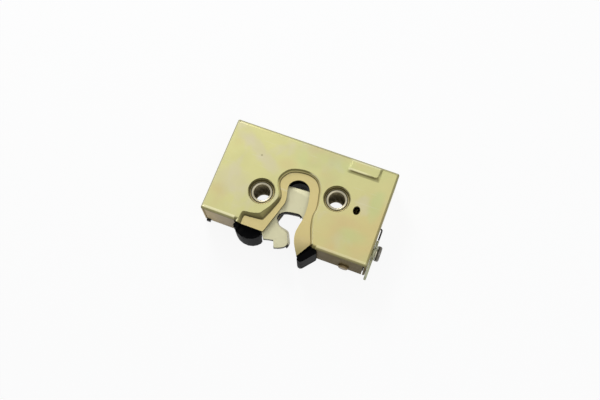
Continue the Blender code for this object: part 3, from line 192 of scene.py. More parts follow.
class Nodes:
    """A node tree under construction."""

    def __init__(self, tree: bpy.types.NodeTree) -> None:
        """Keeps the tree."""
        self.tree = tree

    def node(
        self,
        kind: str,
        settings: Mapping[str, Any] | None = None,
        inputs: Mapping[Any, Any] | None = None,
        output: Any = 0,
    ) -> Link:
        """Adds one node.

        Args:
            kind: the node's type.
            settings: its own settings, set before its sockets.
            inputs: values or links by socket name or number.
            output: the socket that is handed back.

        Returns:
            A link to that output.
        """
        made = self.tree.nodes.new(kind)
        for key, value in (settings or {}).items():
            setattr(made, key, value)
        for key, value in (inputs or {}).items():
            self.feed(made.inputs[key], value)
        return Link(self, made.outputs[output])

    def feed(self, socket: bpy.types.NodeSocket, value: Any) -> None:
        """Links a value to the socket, or sets it there.

        Args:
            socket: the input that gets the value.
            value: a link, a number or a colour, which gets its alpha here.
        """
        if isinstance(value, Link):
            self.tree.links.new(value.socket, socket)
        elif isinstance(value, tuple) and len(value) == 3 and socket.type == "RGBA":
            socket.default_value = (*value, 1.0)
        else:
            socket.default_value = value

    def seen(self) -> Link:
        """1 for a ray from the camera or off a glossy or clear surface, and 0 for any other."""
        rays = ("Is Camera Ray", "Is Glossy Ray", "Is Transmission Ray")
        camera, glossy, clear = (self.node("ShaderNodeLightPath", output=ray) for ray in rays)
        return (camera + glossy + clear).under(1.0)


class Paint(Nodes):
    """A material under construction, with its Principled shader, Object coordinates and normal."""

    def __init__(self, name: str) -> None:
        """Starts a node material of this name."""
        self.material = bpy.data.materials.new(name)
        self.material.use_nodes = True
        super().__init__(self.material.node_tree)
        self.shader = self.tree.nodes["Principled BSDF"]
        coordinates = self.tree.nodes.new("ShaderNodeTexCoord")
        self.place = Link(self, coordinates.outputs["Object"])
        self.normal = Link(self, coordinates.outputs["Normal"])

    def axis(self, vector: Link, letter: str) -> Link:
        """One coordinate of a vector: X, Y or Z."""
        return self.node("ShaderNodeSeparateXYZ", {}, {0: vector}, letter)

    def noise(self, grain: Grain) -> Link:
        """Smooth noise with these settings.

        Args:
            grain: the noise's scale, layers and stretch, and the step and the strength that follow it.

        Returns:
            The noise's value, from 0 to the grain's strength.
        """
        place = self.place
        if grain.stretch != (1.0, 1.0, 1.0):
            settings = {"operation": "MULTIPLY"}
            place = self.node("ShaderNodeVectorMath", settings, {0: place, 1: grain.stretch})
        inputs = {
            "Vector": place,
            "Scale": grain.scale,
            "Detail": grain.detail,
            "Roughness": grain.roughness,
        }
        value = self.node("ShaderNodeTexNoise", {}, inputs)
        if grain.span:
            value = value.step(*grain.span)
        if grain.strength != 1.0:
            value = value * grain.strength
        return value

    def sway(self, grain: Grain) -> Link:
        """Noise that sways to both sides of zero by half the grain's strength."""
        return self.noise(grain) - grain.strength * 0.5

    def blend(self, amount: Number, first: Any, second: Any) -> Link:
        """A colour between two others: the first at 0, the second at 1."""
        inputs = {"Factor": amount, 6: first, 7: second}
        return self.node("ShaderNodeMix", {"data_type": "RGBA"}, inputs, 2)

    def bump(self, height: Link, depth: float) -> Link:
        """A normal tilted by the height, whose full range stands for this depth."""
        inputs = {"Height": height, "Strength": 1.0, "Distance": depth}
        return self.node("ShaderNodeBump", {}, inputs)

    def finish(self, **sockets: Any) -> bpy.types.Material:
        """Sets the shader's sockets.

        Args:
            sockets: socket names with underscores for spaces, and their values or links.

        Returns:
            The finished material.
        """
        for name, value in sockets.items():
            self.feed(self.shader.inputs[name.replace("_", " ")], value)
        return self.material


class CasePaint(Paint):
    """A material under construction that knows its place from the middle of the case's face."""

    def __init__(self, name: str) -> None:
        """Starts the material and takes its place along the case, across it and over its face."""
        super().__init__(name)
        self.x, self.y, self.z = (
            self.axis(self.place, letter) - middle for letter, middle in zip("XYZ", CASE_MIDDLE)
        )

    def away(self, place: Point) -> Link:
        """The distance from a place on the face: the root of the sum of the two squares."""
        return ((self.x - place[0]) ** 2.0 + (self.y - place[1]) ** 2.0) ** 0.5


def within(edge: float, inset: Span) -> Span:
    """The two places that lie these distances inside one of the case's edges.

    Args:
        edge: the edge's place, on either side of the case's middle.
        inset: two distances from the edge.

    Returns:
        The two places, in the same order.
    """
    return edge - math.copysign(inset[0], edge), edge - math.copysign(inset[1], edge)


@dataclass(frozen=True)
class SoftBox:
    """A rectangle on the face with soft sides. Each side's span runs from outside to inside."""

    left: Span
    right: Span
    bottom: Span | None = None
    top: Span | None = None

    def mask(self, p: CasePaint) -> Link:
        """1 inside the rectangle and 0 outside: the product of its sides' steps."""
        sides = ((p.x, self.left), (p.x, self.right), (p.y, self.bottom), (p.y, self.top))
        return math.prod(axis.step(*span) for axis, span in sides if span)


@dataclass(frozen=True)
class Patch:
    """An oval with a ragged rim where the passivate turned another colour."""

    middle: Point
    half_size: Point
    strength: float
    tint: Colour

    def reach(self, p: CasePaint) -> Link:
        """The distance from the oval's middle as a share of its rim's: 0 in the middle, 1 on the rim."""
        across = ((p.x - self.middle[0]) * (1.0 / self.half_size[0])) ** 2.0
        up = ((p.y - self.middle[1]) * (1.0 / self.half_size[1])) ** 2.0
        return (across + up) ** 0.5


@dataclass(frozen=True)
class PassivatedSteel:
    """Zinc plate with a yellow passivate: olive gold that shifts to pink and green over the sheet, with
    painted shade and painted highlights on its pressed forms, folds and walls.

    A span gives where a mask begins and where it is full. Spans of place are measured from the middle of the
    case's face, and the insets are counted inwards from its edges.
    """

    name: str = "passivated_steel"
    metal: float = 0.40
    index: float = 1.25
    relief: float = 0.00004

    gold: Colour = (0.63, 0.60, 0.275)
    pink: Colour = (0.62, 0.47, 0.235)
    green: Colour = (0.50, 0.60, 0.27)
    haze: Colour = (0.63, 0.58, 0.38)
    cloud: Colour = (0.62, 0.56, 0.38)
    pressed: Colour = (0.64, 0.51, 0.225)
    # The next two colours are painted highlights, and the three after them painted shade
    bright: Colour = (0.80, 0.78, 0.50)
    gleam: Colour = (0.90, 0.85, 0.52)
    shadow: Colour = (0.16, 0.14, 0.050)
    deep_shade: Colour = (0.070, 0.058, 0.020)
    sheared_edge_shade: Colour = (0.012, 0.010, 0.003)
    dirt: Colour = (0.30, 0.24, 0.12)
    bare: Colour = (0.75, 0.74, 0.60)
    # Painted shade for the walls, which face away from the light, laid over the passivate's tone
    side_wall_shade: Colour = (0.46, 0.40, 0.19)
    corner_wall_shade: Colour = (0.62, 0.48, 0.28)
    left_wall_shade: Colour = (0.50, 0.40, 0.28)
    right_wall_shade: Colour = (0.085, 0.052, 0.010)

    # Warmth that grows to the lower right, drifting patches, and one pale streak over the upper left
    warm_slant: float = 0.8
    warm_span: Span = (0.004, 0.052)
    warm_strength: float = 0.70
    haze_drift: Grain = Grain(48.0, stretch=(1.3, 1.0, 1.0), span=(0.52, 0.66), strength=0.6)
    pink_drift: Grain = Grain(34.0, 2.0, 0.45, span=(0.50, 0.70), strength=0.65)
    green_drift: Grain = Grain(27.0, 2.0, stretch=(1.0, 1.4, 1.0), span=(0.54, 0.74), strength=0.40)
    streak_middle: Point = (-0.0297, 0.0138)
    streak_way: Point = (0.832, -0.555)
    streak_side: Span = (0.0052, 0.0014)
    streak_end: Span = (0.0190, 0.0110)
    streak_sway: Grain = Grain(110.0, roughness=0.6, strength=0.006)
    streak_strength: float = 0.55
    patch_sway: Grain = Grain(90.0, roughness=0.6, strength=0.8)
    patch_rim: Span = (1.0, 0.25)

    # The walls with their painted shade, and the mouth that is cut out of the lower one
    mouth: SoftBox = SoftBox((-0.0302, -0.0298), (0.0205, 0.0198), top=(-0.0200, -0.0260))
    wall_inset: Span = (0.0016, 0.0003)
    wall_depth: Span = (-0.0006, -0.0022)
    wall_strength: float = 0.5
    corner_span: Span = (-0.0470, -0.0370)
    right_span: Span = (-0.010, 0.030)
    lower_strength: float = 0.72
    lower_drift: Grain = Grain(60.0, strength=0.3)
    lower_dullness: float = 0.95

    # The recess, the painted highlight and painted shade along the outer folds, and the arch of the slot,
    # whose slopes get less painted shade
    pressed_depth: Span = (-0.0004, -0.0018)
    pressed_strength: float = 0.75
    fold_inset: Span = (0.0026, 0.0020)
    fold_turn: Span = (0.0012, 0.0007)
    fold_fade: Span = (-0.010, 0.020)
    fold_gleam: float = 0.85
    fold_loss: float = 0.5
    fold_foot: Span = (-0.0034, -0.0020)
    fold_foot_strength: float = 0.62
    far_end_inset: Span = (0.0014, 0.0004)
    far_side_inset: Span = (0.0021, 0.0011)
    far_depth: Span = (-0.0028, -0.0018)
    far_strength: float = 0.70
    arch_span: Span = (-0.006, 0.003)
    arch_depth: Span = (-0.0009, -0.0012)
    arch_loss: float = 0.62

    # Painted shade and painted highlights on the slopes: the way that the shaded ones face, and how far a
    # slope's normal has to turn that way
    shaded_way: Place = (0.42, -0.907, 0.0)
    shaded_span: Span = (0.04, 0.40)
    shaded_strength: float = 0.95
    foot_span: Span = (0.10, 0.45)
    foot_depth: Span = (-0.0006, -0.0018)
    foot_strength: float = 0.65
    lit_span: Span = (-0.12, -0.55)
    lit_strength: float = 0.55
    rim_span: Span = (-0.03, -0.22)
    rim_low: Span = (-0.0010, -0.0004)
    rim_high: Span = (-0.00001, -0.00008)
    rim_strength: float = 0.80
    crease_low: Span = (-0.00145, -0.00168)
    crease_high: Span = (-0.00199, -0.00190)
    crease_span: Span = (-0.10, 0.40)
    crease_strength: float = 0.74
    crease_gain: float = 0.20
    steep_span: Span = (0.92, 0.62)
    cut_depth: Span = (-0.00200, -0.00205)
    cut_strength: float = 0.95

    # The pad's painted shade and highlight, the painted shade on the floors of the dimples, and the one dent
    # with painted shade in it
    pad_slope: SoftBox = SoftBox((0.0208, 0.0230), (0.0416, 0.0404), (0.0196, 0.0203), (0.0221, 0.0216))
    pad_end: SoftBox = SoftBox((0.0392, 0.0398), (0.0416, 0.0408), (0.0204, 0.0220))
    pad_end_share: float = 0.6
    pad_rim: SoftBox = SoftBox((0.0214, 0.0224), (0.0380, 0.0300), (0.0214, 0.0219), (0.0231, 0.0226))
    pad_strength: float = 0.60
    dimple_radius: Span = (0.0080, 0.0073)
    dimple_slant: float = 0.6
    dimple_span: Span = (-0.0045, 0.0060)
    dimple_strength: float = 0.40
    dimple_gain: float = 0.45
    dimple_depth: Span = (-0.0010, -0.0021)
    dent_place: Point = (-0.0290, 0.0125)
    dent_radius: Span = (0.0008, 0.0003)
    dent_strength: float = 0.55
    dent_share: float = 0.7

    # Grime, scratches, the sheet's fine relief and its roughness
    grime: Grain = Grain(210.0, 4.0, 0.6, span=(0.62, 0.84), strength=0.12)
    scratches: Grain = Grain(900.0, 2.0, stretch=(0.05, 1.0, 1.0), span=(0.66, 0.74))
    scratch_strength: float = 0.20
    scratch_wall_loss: float = 0.16
    scratch_share: float = 0.1
    ripple: Grain = Grain(260.0, strength=0.6)
    fine_relief: Grain = Grain(1500.0, 2.0, strength=0.12)
    roughness: float = 0.30
    rough_drift: Grain = Grain(120.0, strength=0.16)
    wall_roughness: float = 0.08
    lower_roughness: float = 0.12
    cut_roughness: float = 0.4

    def paint(self) -> bpy.types.Material:
        """Builds the material: colour patches, walls browned with painted shade, pressing marks drawn as
        painted shade and highlights on the folds, slopes, pad and dimple floors, scratches, and one small
        dent with painted shade in it.

        Returns:
            The material.
        """
        p = CasePaint(self.name)
        mouth = self.mouth.mask(p)
        ends = abs(p.x).step(*within(HALF_LENGTH, self.wall_inset))
        sides = abs(p.y).step(*within(HALF_HEIGHT, self.wall_inset))
        outside = ends.over(sides) * (1.0 - mouth)
        inside = 1.0 - outside
        walls = outside * p.z.step(*self.wall_depth)
        lower = p.y.step(*within(-HALF_HEIGHT, self.wall_inset)) * walls
        colour = self._wall_shade(p, self._sheen(p), walls, lower)
        recess = p.z.step(*self.pressed_depth) * inside
        colour = p.blend(recess * self.pressed_strength, colour, self.pressed)
        strip = p.y.step(*within(-HALF_HEIGHT, self.fold_inset)) * (1.0 - mouth)
        # Painted highlight and painted shade along the folds
        colour = self._outer_folds(p, colour, strip)
        colour, cut_edge = self._slopes(p, colour, inside * (1.0 - strip))
        # Painted shade on the narrow floors round the sleeves
        colour = p.blend(self._dimple_floors(p), colour, self.deep_shade)
        # Painted shade and painted highlight on the raised pad
        colour = self._pad(p, colour)
        colour = p.blend(p.noise(self.grime), colour, self.dirt)
        scratch = p.noise(self.scratches)
        strength = self.scratch_strength - walls * self.scratch_wall_loss
        colour = p.blend(scratch * strength, colour, self.bare)
        # One small dent in the relief, with painted shade in it
        dent = p.away(self.dent_place).step(*self.dent_radius)
        colour = p.blend(dent * self.dent_strength, colour, self.shadow)
        height = p.noise(self.ripple) + p.noise(self.fine_relief)
        height = height - dent * self.dent_share - scratch * self.scratch_share
        rough = self.roughness + p.noise(self.rough_drift) + walls * self.wall_roughness
        rough = rough + lower * self.lower_roughness + cut_edge * self.cut_roughness
        dull = (lower * self.lower_dullness).over(cut_edge)
        return p.finish(
            Base_Color=colour,
            Roughness=rough,
            Metallic=(1.0 - dull) * self.metal,
            IOR=self.index,
            Normal=p.bump(height, self.relief),
        )

    def _patches(self) -> tuple[Patch, ...]:
        """The patches that stay in one place on the face."""
        return (
            Patch((-0.0400, -0.0080), (0.0150, 0.0110), 0.50, self.cloud),
            Patch((0.0378, -0.0161), (0.0125, 0.0070), 0.32, self.green),
            Patch((0.0301, -0.0085), (0.0140, 0.0050), 0.40, self.pink),
            Patch((0.0440, 0.0060), (0.0060, 0.0140), 0.45, self.green),
            Patch((-0.0130, 0.0125), (0.0070, 0.0060), 0.30, self.pink),
        )

    def _sheen(self, p: CasePaint) -> Link:
        """The passivate's own colour: gold, warmer to the lower right, with faint patches and a pale streak.

        Args:
            p: the paint.

        Returns:
            The colour.
        """
        warm = (p.x * self.warm_slant - p.y).step(*self.warm_span)
        colour = p.blend(warm * self.warm_strength, self.gold, self.pressed)
        colour = p.blend(p.noise(self.haze_drift), colour, self.haze)
        colour = p.blend(p.noise(self.pink_drift), colour, self.pink)
        x = p.x - self.streak_middle[0]
        y = p.y - self.streak_middle[1]
        way_x, way_y = self.streak_way
        along = x * way_x + y * way_y
        across = y * way_x - x * way_y + p.sway(self.streak_sway)
        streak = abs(across).step(*self.streak_side) * abs(along).step(*self.streak_end)
        colour = p.blend(streak * self.streak_strength, colour, self.cloud)
        colour = p.blend(p.noise(self.green_drift), colour, self.green)
        ragged = p.sway(self.patch_sway)
        for patch in self._patches():
            mask = (patch.reach(p) + ragged).step(*self.patch_rim)
            colour = p.blend(mask * patch.strength, colour, patch.tint)
        return colour

    def _wall_shade(self, p: CasePaint, colour: Link, walls: Link, lower: Link) -> Link:
        """Painted shade on the walls, which face away from the light: a browner colour. The lower wall goes
        from pink at its left corner to dark brown.

        Args:
            p: the paint.
            colour: the sheet's colour so far.
            walls: 1 on the walls.
            lower: 1 on the lower wall.

        Returns:
            The colour with the walls' painted shade.
        """
        colour = p.blend(walls * self.wall_strength, colour, self.side_wall_shade)
        wall = p.blend(p.x.step(*self.corner_span), self.corner_wall_shade, self.left_wall_shade)
        wall = p.blend(p.x.step(*self.right_span), wall, self.right_wall_shade)
        return p.blend(lower * (self.lower_strength + p.noise(self.lower_drift)), colour, wall)

    def _outer_folds(self, p: CasePaint, colour: Link, strip: Link) -> Link:
        """A painted highlight along the lower fold with painted shade under it, and painted shade along the
        other folds.

        Args:
            p: the paint.
            colour: the sheet's colour so far.
            strip: 1 along the lower edge, outside the mouth.

        Returns:
            The colour with the painted highlight and shade.
        """
        turn = p.y.step(*within(-HALF_HEIGHT, self.fold_turn))
        gleam = self.fold_gleam - p.x.step(*self.fold_fade) * self.fold_loss
        colour = p.blend(strip * (1.0 - turn) * gleam, colour, self.gleam)
        foot = strip * turn * p.z.step(*self.fold_foot)
        colour = p.blend(foot * self.fold_foot_strength, colour, self.shadow)
        ends = abs(p.x).step(*within(HALF_LENGTH, self.far_end_inset))
        far = ends.over(p.y.step(*within(HALF_HEIGHT, self.far_side_inset)))
        return p.blend(far * p.z.step(*self.far_depth) * self.far_strength, colour, self.shadow)

    def _slopes(self, p: CasePaint, colour: Link, inside: Link) -> tuple[Link, Link]:
        """The pressed slopes: painted shade where they face down the case, painted highlights where they face
        up it, and painted shade in the creases and on the sheared edges.

        Args:
            p: the paint.
            colour: the sheet's colour so far.
            inside: 1 on the face and its pressed forms.

        Returns:
            The colour with the slopes, and how far a place is on a sheared edge, from 0 to 1.
        """
        inputs = {0: p.normal, 1: self.shaded_way}
        facing = p.node("ShaderNodeVectorMath", {"operation": "DOT_PRODUCT"}, inputs, "Value")
        # Painted shade where a slope faces down the case, less of it on the arch's middle band
        arch = p.y.step(*self.arch_span)
        strength = self.shaded_strength - p.z.step(*self.arch_depth) * arch * self.arch_loss
        colour = p.blend(facing.step(*self.shaded_span) * strength * inside, colour, self.shadow)
        # Painted shade at the foot of those slopes, away from the arch
        foot = facing.step(*self.foot_span) * p.z.step(*self.foot_depth) * (1.0 - arch)
        colour = p.blend(foot * inside * self.foot_strength, colour, self.deep_shade)
        # Painted highlight where a slope faces up the case
        lit = facing.step(*self.lit_span) * inside
        colour = p.blend(lit * self.lit_strength, colour, self.bright)
        # Painted highlight along the tops of slopes whose normal turns to the left
        rim = p.axis(p.normal, "X").step(*self.rim_span) * p.z.step(*self.rim_low) * p.z.step(*self.rim_high)
        colour = p.blend(rim * inside * self.rim_strength, colour, self.gleam)
        # Painted shade in the creases at the foot of the recess
        crease = p.z.step(*self.crease_low) * p.z.step(*self.crease_high) * inside
        strength = self.crease_strength + facing.step(*self.crease_span) * self.crease_gain
        colour = p.blend(crease * strength, colour, self.deep_shade)
        # Painted shade on the slot's sheared edges, which are also made rougher and less metallic
        steep = abs(p.axis(p.normal, "Z")).step(*self.steep_span)
        cut_edge = steep * p.z.step(*self.cut_depth) * inside
        return p.blend(cut_edge * self.cut_strength, colour, self.sheared_edge_shade), cut_edge

    def _pad(self, p: CasePaint, colour: Link) -> Link:
        """The raised pad: its lower slope and right end lie in shade, and its rim catches the light.

        Args:
            p: the paint.
            colour: the sheet's colour so far.

        Returns:
            The colour with the pad's shading.
        """
        shaded = self.pad_slope.mask(p).over(self.pad_end.mask(p) * self.pad_end_share)
        colour = p.blend(shaded * self.pad_strength, colour, self.shadow)
        return p.blend(self.pad_rim.mask(p) * self.pad_strength, colour, self.gleam)

    def _dimple_floors(self, p: CasePaint) -> Link:
        """How dark the narrow floor round each sleeve is: most on the side that the dimple's edge shades.

        Args:
            p: the paint.

        Returns:
            The strength, from 0 to 1.
        """
        total = 0.0
        for place in SLEEVE_PLACES.values():
            ring = p.away(place).step(*self.dimple_radius)
            slanted = (p.y - place[1]) - (p.x - place[0]) * self.dimple_slant
            shaded = slanted.step(*self.dimple_span)
            total = ring * (self.dimple_strength + shaded * self.dimple_gain) + total
        return total * p.z.step(*self.dimple_depth)


@dataclass(frozen=True)
class PlatedSteel:
    """Pale zinc plate on the moving pieces, with the grain that blanking and tumbling leave."""

    name: str = "plated_steel"
    colour: Colour = (0.62, 0.58, 0.42)
    shade: Colour = (0.40, 0.36, 0.25)
    metal: float = 0.45
    roughness: float = 0.34
    cut_shade: float = 0.0
    # The dark colour of the painted shade on sheared edges
    oil_and_shade: Colour = (0.045, 0.042, 0.030)
    cut_span: Span = (-0.25, -0.65)
    cloud: Grain = Grain(90.0)
    cloud_span: Span = (0.45, 0.75)
    cloud_strength: float = 0.5
    cloud_share: float = 0.5
    worn: Grain = Grain(400.0, roughness=0.6, span=(0.62, 0.75), strength=0.3)
    brushed: Grain = Grain(1400.0, 2.0, stretch=(1.0, 0.25, 1.0), strength=0.5)
    rough_drift: Grain = Grain(300.0, strength=0.14)
    relief: float = 0.00003

    def paint(self) -> bpy.types.Material:
        """Builds the material: cloudy plating, fine grain, rubbed places, and painted shade on the sheared
        edges that face down the case.

        Returns:
            The material.
        """
        p = Paint(self.name)
        cloud = p.noise(self.cloud)
        colour = p.blend(cloud.step(*self.cloud_span) * self.cloud_strength, self.colour, self.shade)
        colour = p.blend(p.noise(self.worn), colour, self.shade)
        # Painted shade on faces that point down the case, where sheared edges lie in shadow
        sheared = p.axis(p.normal, "Y").step(*self.cut_span)
        colour = p.blend(sheared * self.cut_shade, colour, self.oil_and_shade)
        height = p.noise(self.brushed) + cloud * self.cloud_share
        rough = self.roughness + p.noise(self.rough_drift)
        normal = p.bump(height, self.relief)
        return p.finish(Base_Color=colour, Roughness=rough, Metallic=self.metal, Normal=normal)


@dataclass(frozen=True)
class TurnedSteel:
    """The sleeves: a turned rim, brightened by a painted highlight along its two edges, and an oily
    brown-grey bore.
    """

    name: str = "turned_steel"
    metal: float = 0.85
    rim: Colour = (0.40, 0.365, 0.26)
    # The painted highlight on the rim's edges
    edge: Colour = (0.74, 0.70, 0.54)
    bore: Colour = (0.20, 0.17, 0.10)
    oil_and_shade: Colour = (0.25, 0.21, 0.13)
    bore_span: Span = (0.0055, 0.0049)
    bore_loss: float = 0.5
    front_span: Span = (-0.0034, -0.0026)
    inner_edge: Span = (0.00535, 0.00505)
    outer_edge: Span = (0.00575, 0.00600)
    edge_strength: float = 0.6
    oil_drift: Grain = Grain(500.0, span=(0.55, 0.75), strength=0.3)
    ring_waves: float = 9000.0
    ring_drift: Grain = Grain(200.0, strength=0.6)
    ring_share: float = 0.25
    fine_relief: Grain = Grain(1200.0, strength=0.4)
    roughness: float = 0.26
    bore_roughness: float = 0.18
    rough_drift: Grain = Grain(300.0, strength=0.1)
    relief: float = 0.00002

    def paint(self) -> bpy.types.Material:
        """Builds the material: the distance to the nearer sleeve's axis parts the rim from the bore.

        Returns:
            The material.
        """
        p = CasePaint(self.name)
        first, second = (p.away(place) for place in SLEEVE_PLACES.values())
        radius = first.under(second)
        front = p.z.step(*self.front_span)
        inside = radius.step(*self.bore_span)
        colour = p.blend(inside * (1.0 - front * self.bore_loss), self.rim, self.bore)
        # Painted highlight along the inner and outer edges of the rim's front
        edges = radius.step(*self.inner_edge).over(radius.step(*self.outer_edge)) * front * (1.0 - inside)
        colour = p.blend(edges * self.edge_strength, colour, self.edge)
        colour = p.blend(p.noise(self.oil_drift), colour, self.oil_and_shade)
        ridge = (radius * self.ring_waves + p.noise(self.ring_drift)).sine()
        height = ridge * self.ring_share * (1.0 - inside) + p.noise(self.fine_relief)
        rough = self.roughness + inside * self.bore_roughness + p.noise(self.rough_drift)
        normal = p.bump(height, self.relief)
        return p.finish(Base_Color=colour, Roughness=rough, Metallic=self.metal, Normal=normal)


@dataclass(frozen=True)
class DarkMetal:
    """Blackened or oiled steel, rubbed bright where it stands proud."""

    name: str
    colour: Colour
    worn: Colour
    roughness: float
    metal: float = 0.8
    rubbed: Grain = Grain(320.0, 4.0, 0.6, span=(0.55, 0.72))
    rubbed_strength: float = 0.7
    rubbed_share: float = 0.2
    fine_relief: Grain = Grain(900.0, strength=0.6)
    rough_drift: Grain = Grain(200.0, strength=0.18)
    relief: float = 0.00003

    def paint(self) -> bpy.types.Material:
        """Builds the material: noise rubs the dark coat through.

        Returns:
            The material.
        """
        p = Paint(self.name)
        rubbed = p.noise(self.rubbed)
        colour = p.blend(rubbed * self.rubbed_strength, self.colour, self.worn)
        height = p.noise(self.fine_relief) + rubbed * self.rubbed_share
        rough = self.roughness + p.noise(self.rough_drift)
        normal = p.bump(height, self.relief)
        return p.finish(Base_Color=colour, Roughness=rough, Metallic=self.metal, Normal=normal)


@dataclass(frozen=True)
class Moulded:
    """Black rubber or plastic: a fine moulded grain, dust in patches, and a soft sheen."""

    name: str
    colour: Colour
    dust: Colour
    roughness: float
    grain: Grain
    index: float
    dusty: Grain = Grain(150.0, 4.0, 0.6, span=(0.52, 0.78))
    dust_strength: float = 0.45
    dust_roughness: float = 0.18
    ripple: Grain = Grain(250.0, strength=0.3)
    relief: float = 0.00004

    def paint(self) -> bpy.types.Material:
        """Builds the material: fine grain in the height, and thin dust over the colour.

        Returns:
            The material.
        """
        p = Paint(self.name)
        dusty = p.noise(self.dusty)
        colour = p.blend(dusty * self.dust_strength, self.colour, self.dust)
        height = p.noise(self.grain) + p.noise(self.ripple)
        rough = self.roughness + dusty * self.dust_roughness
        normal = p.bump(height, self.relief)
        return p.finish(Base_Color=colour, Roughness=rough, IOR=self.index, Normal=normal)


@dataclass(frozen=True)
class RubbedLiner:
    """The liner in the fork's mouth: black, and rubbed pale along the jaw where the striker slides in."""

    name: str = "rubbed_liner"
    index: float = 1.2
    colour: Colour = (0.012, 0.011, 0.010)
    dust: Colour = (0.05, 0.045, 0.04)
    dust_strength: float = 0.3
    rubbed: Colour = (0.60, 0.56, 0.41)
    rubbed_strength: float = 0.94
    jaw_top: Span = (-0.0192, -0.0208)
    jaw_tip: Span = (-0.0326, -0.0310)
    jaw_sway: Grain = Grain(600.0, strength=0.0008)
    grain: Grain = Grain(900.0)
    roughness: float = 0.42
    rough_gain: float = 0.12
    relief: float = 0.00002

    def paint(self) -> bpy.types.Material:
        """Builds the material: the place across the case says where the jaw is, and noise breaks its ends up.

        Returns:
            The material.
        """
        p = CasePaint(self.name)
        y = p.y + p.sway(self.jaw_sway)
        jaw = y.step(*self.jaw_top) * y.step(*self.jaw_tip)
        grain = p.noise(self.grain)
        black = p.blend(grain * self.dust_strength, self.colour, self.dust)
        colour = p.blend(jaw * self.rubbed_strength, black, self.rubbed)
        rough = self.roughness + grain * self.rough_gain
        normal = p.bump(grain, self.relief)
        return p.finish(Base_Color=colour, Roughness=rough, IOR=self.index, Normal=normal)


@dataclass(frozen=True)
class Lamp:
    """One soft square lamp that looks at the lock: its place, its side's length and its power in watts."""

    name: str
    place: Place
    size: float
    power: float

    def build(self) -> None:
        """Hangs the lamp."""
        data = bpy.data.lights.new(self.name, "AREA")
        data.size = self.size
        data.energy = self.power
        lamp = bpy.data.objects.new(self.name, data)
        bpy.context.scene.collection.objects.link(lamp)
        lamp.location = self.place
        lamp.rotation_mode = "QUATERNION"
        lamp.rotation_quaternion = (-Vector(self.place)).to_track_quat("-Z", "Y")


@dataclass(frozen=True)
class Studio:
    """The pale floor, the white surround, the lamps and the fitted camera."""

    floor_half: float = 1.6
    floor_gap: float = 0.0002
    floor_colour: Colour = (0.86, 0.86, 0.86)
    floor_roughness: float = 0.9
    floor_glow: float = 0.90
    surround: float = 0.40
    surround_colour: Colour = (0.93, 0.96, 1.0)
    white: Colour = (1.0, 1.0, 1.0)
    lamps: tuple[Lamp, ...] = (
        Lamp("key_lamp", (-0.44, 0.58, 0.52), 0.30, 4.0),
        Lamp("fill_lamp", (0.50, -0.10, 0.80), 0.70, 2.0),
    )
    camera_place: Place = (0.05271732, -0.12414855, 0.43483777)
    camera_right: Place = (0.93551715, 0.35293869, -0.01555451)
    camera_up: Place = (-0.33121577, 0.89155184, 0.30891979)
    camera_back: Place = (0.12289739, -0.28384786, 0.95096089)
    clip_start: float = 0.01
    lens_mm: float = 45.0
    sensor_mm: float = 36.0

    def build(self) -> None:
        """Makes the camera, the world, the floor and the lamps."""
        self._camera()
        self._world()
        self._floor()
        for lamp in self.lamps:
            lamp.build()

    def _camera(self) -> None:
        """Places the camera that was fitted to the case's edges."""
        data = bpy.data.cameras.new("camera")
        data.sensor_width = self.sensor_mm
        data.lens = self.lens_mm
        data.clip_start = self.clip_start
        camera = bpy.data.objects.new("camera", data)
        bpy.context.scene.collection.objects.link(camera)
        turn = Matrix((self.camera_right, self.camera_up, self.camera_back)).transposed()
        camera.matrix_world = Matrix.Translation(self.camera_place) @ turn.to_4x4()
        bpy.context.scene.camera = camera

    def _world(self) -> None:
        """White to the camera and in reflections, and a softer grey as light."""
        world = bpy.data.worlds.new("studio")
        bpy.context.scene.world = world
        world.use_nodes = True
        nodes = Nodes(world.node_tree)
        nodes.tree.nodes.clear()
        soft = {"Color": self.surround_colour, "Strength": self.surround}
        inputs = {
            0: nodes.seen(),
            1: nodes.node("ShaderNodeBackground", {}, soft),
            2: nodes.node("ShaderNodeBackground", {}, {"Color": self.white}),
        }
        out = nodes.tree.nodes.new("ShaderNodeOutputWorld")
        nodes.feed(out.inputs["Surface"], nodes.node("ShaderNodeMixShader", {}, inputs))

    def _floor(self) -> None:
        """A pale floor that keeps the lock's shadow and looks white to the camera."""
        half = self.floor_half
        level = -self.floor_gap
        corners = [(-half, -half, level), (half, -half, level), (half, half, level), (-half, half, level)]
        mesh = bpy.data.meshes.new("floor")
        mesh.from_pydata(corners, [], [(0, 1, 2, 3)])
        floor = bpy.data.objects.new("floor", mesh)
        bpy.context.scene.collection.objects.link(floor)
        p = Paint("pale_floor")
        p.finish(Base_Color=self.floor_colour, Roughness=self.floor_roughness)
        inputs = {
            0: p.seen() * self.floor_glow,
            1: Link(p, p.shader.outputs[0]),
            2: p.node("ShaderNodeEmission", {}, {"Strength": 1.0}),
        }
        out = p.tree.nodes["Material Output"]
        p.feed(out.inputs["Surface"], p.node("ShaderNodeMixShader", {}, inputs))
        mesh.materials.append(p.material)


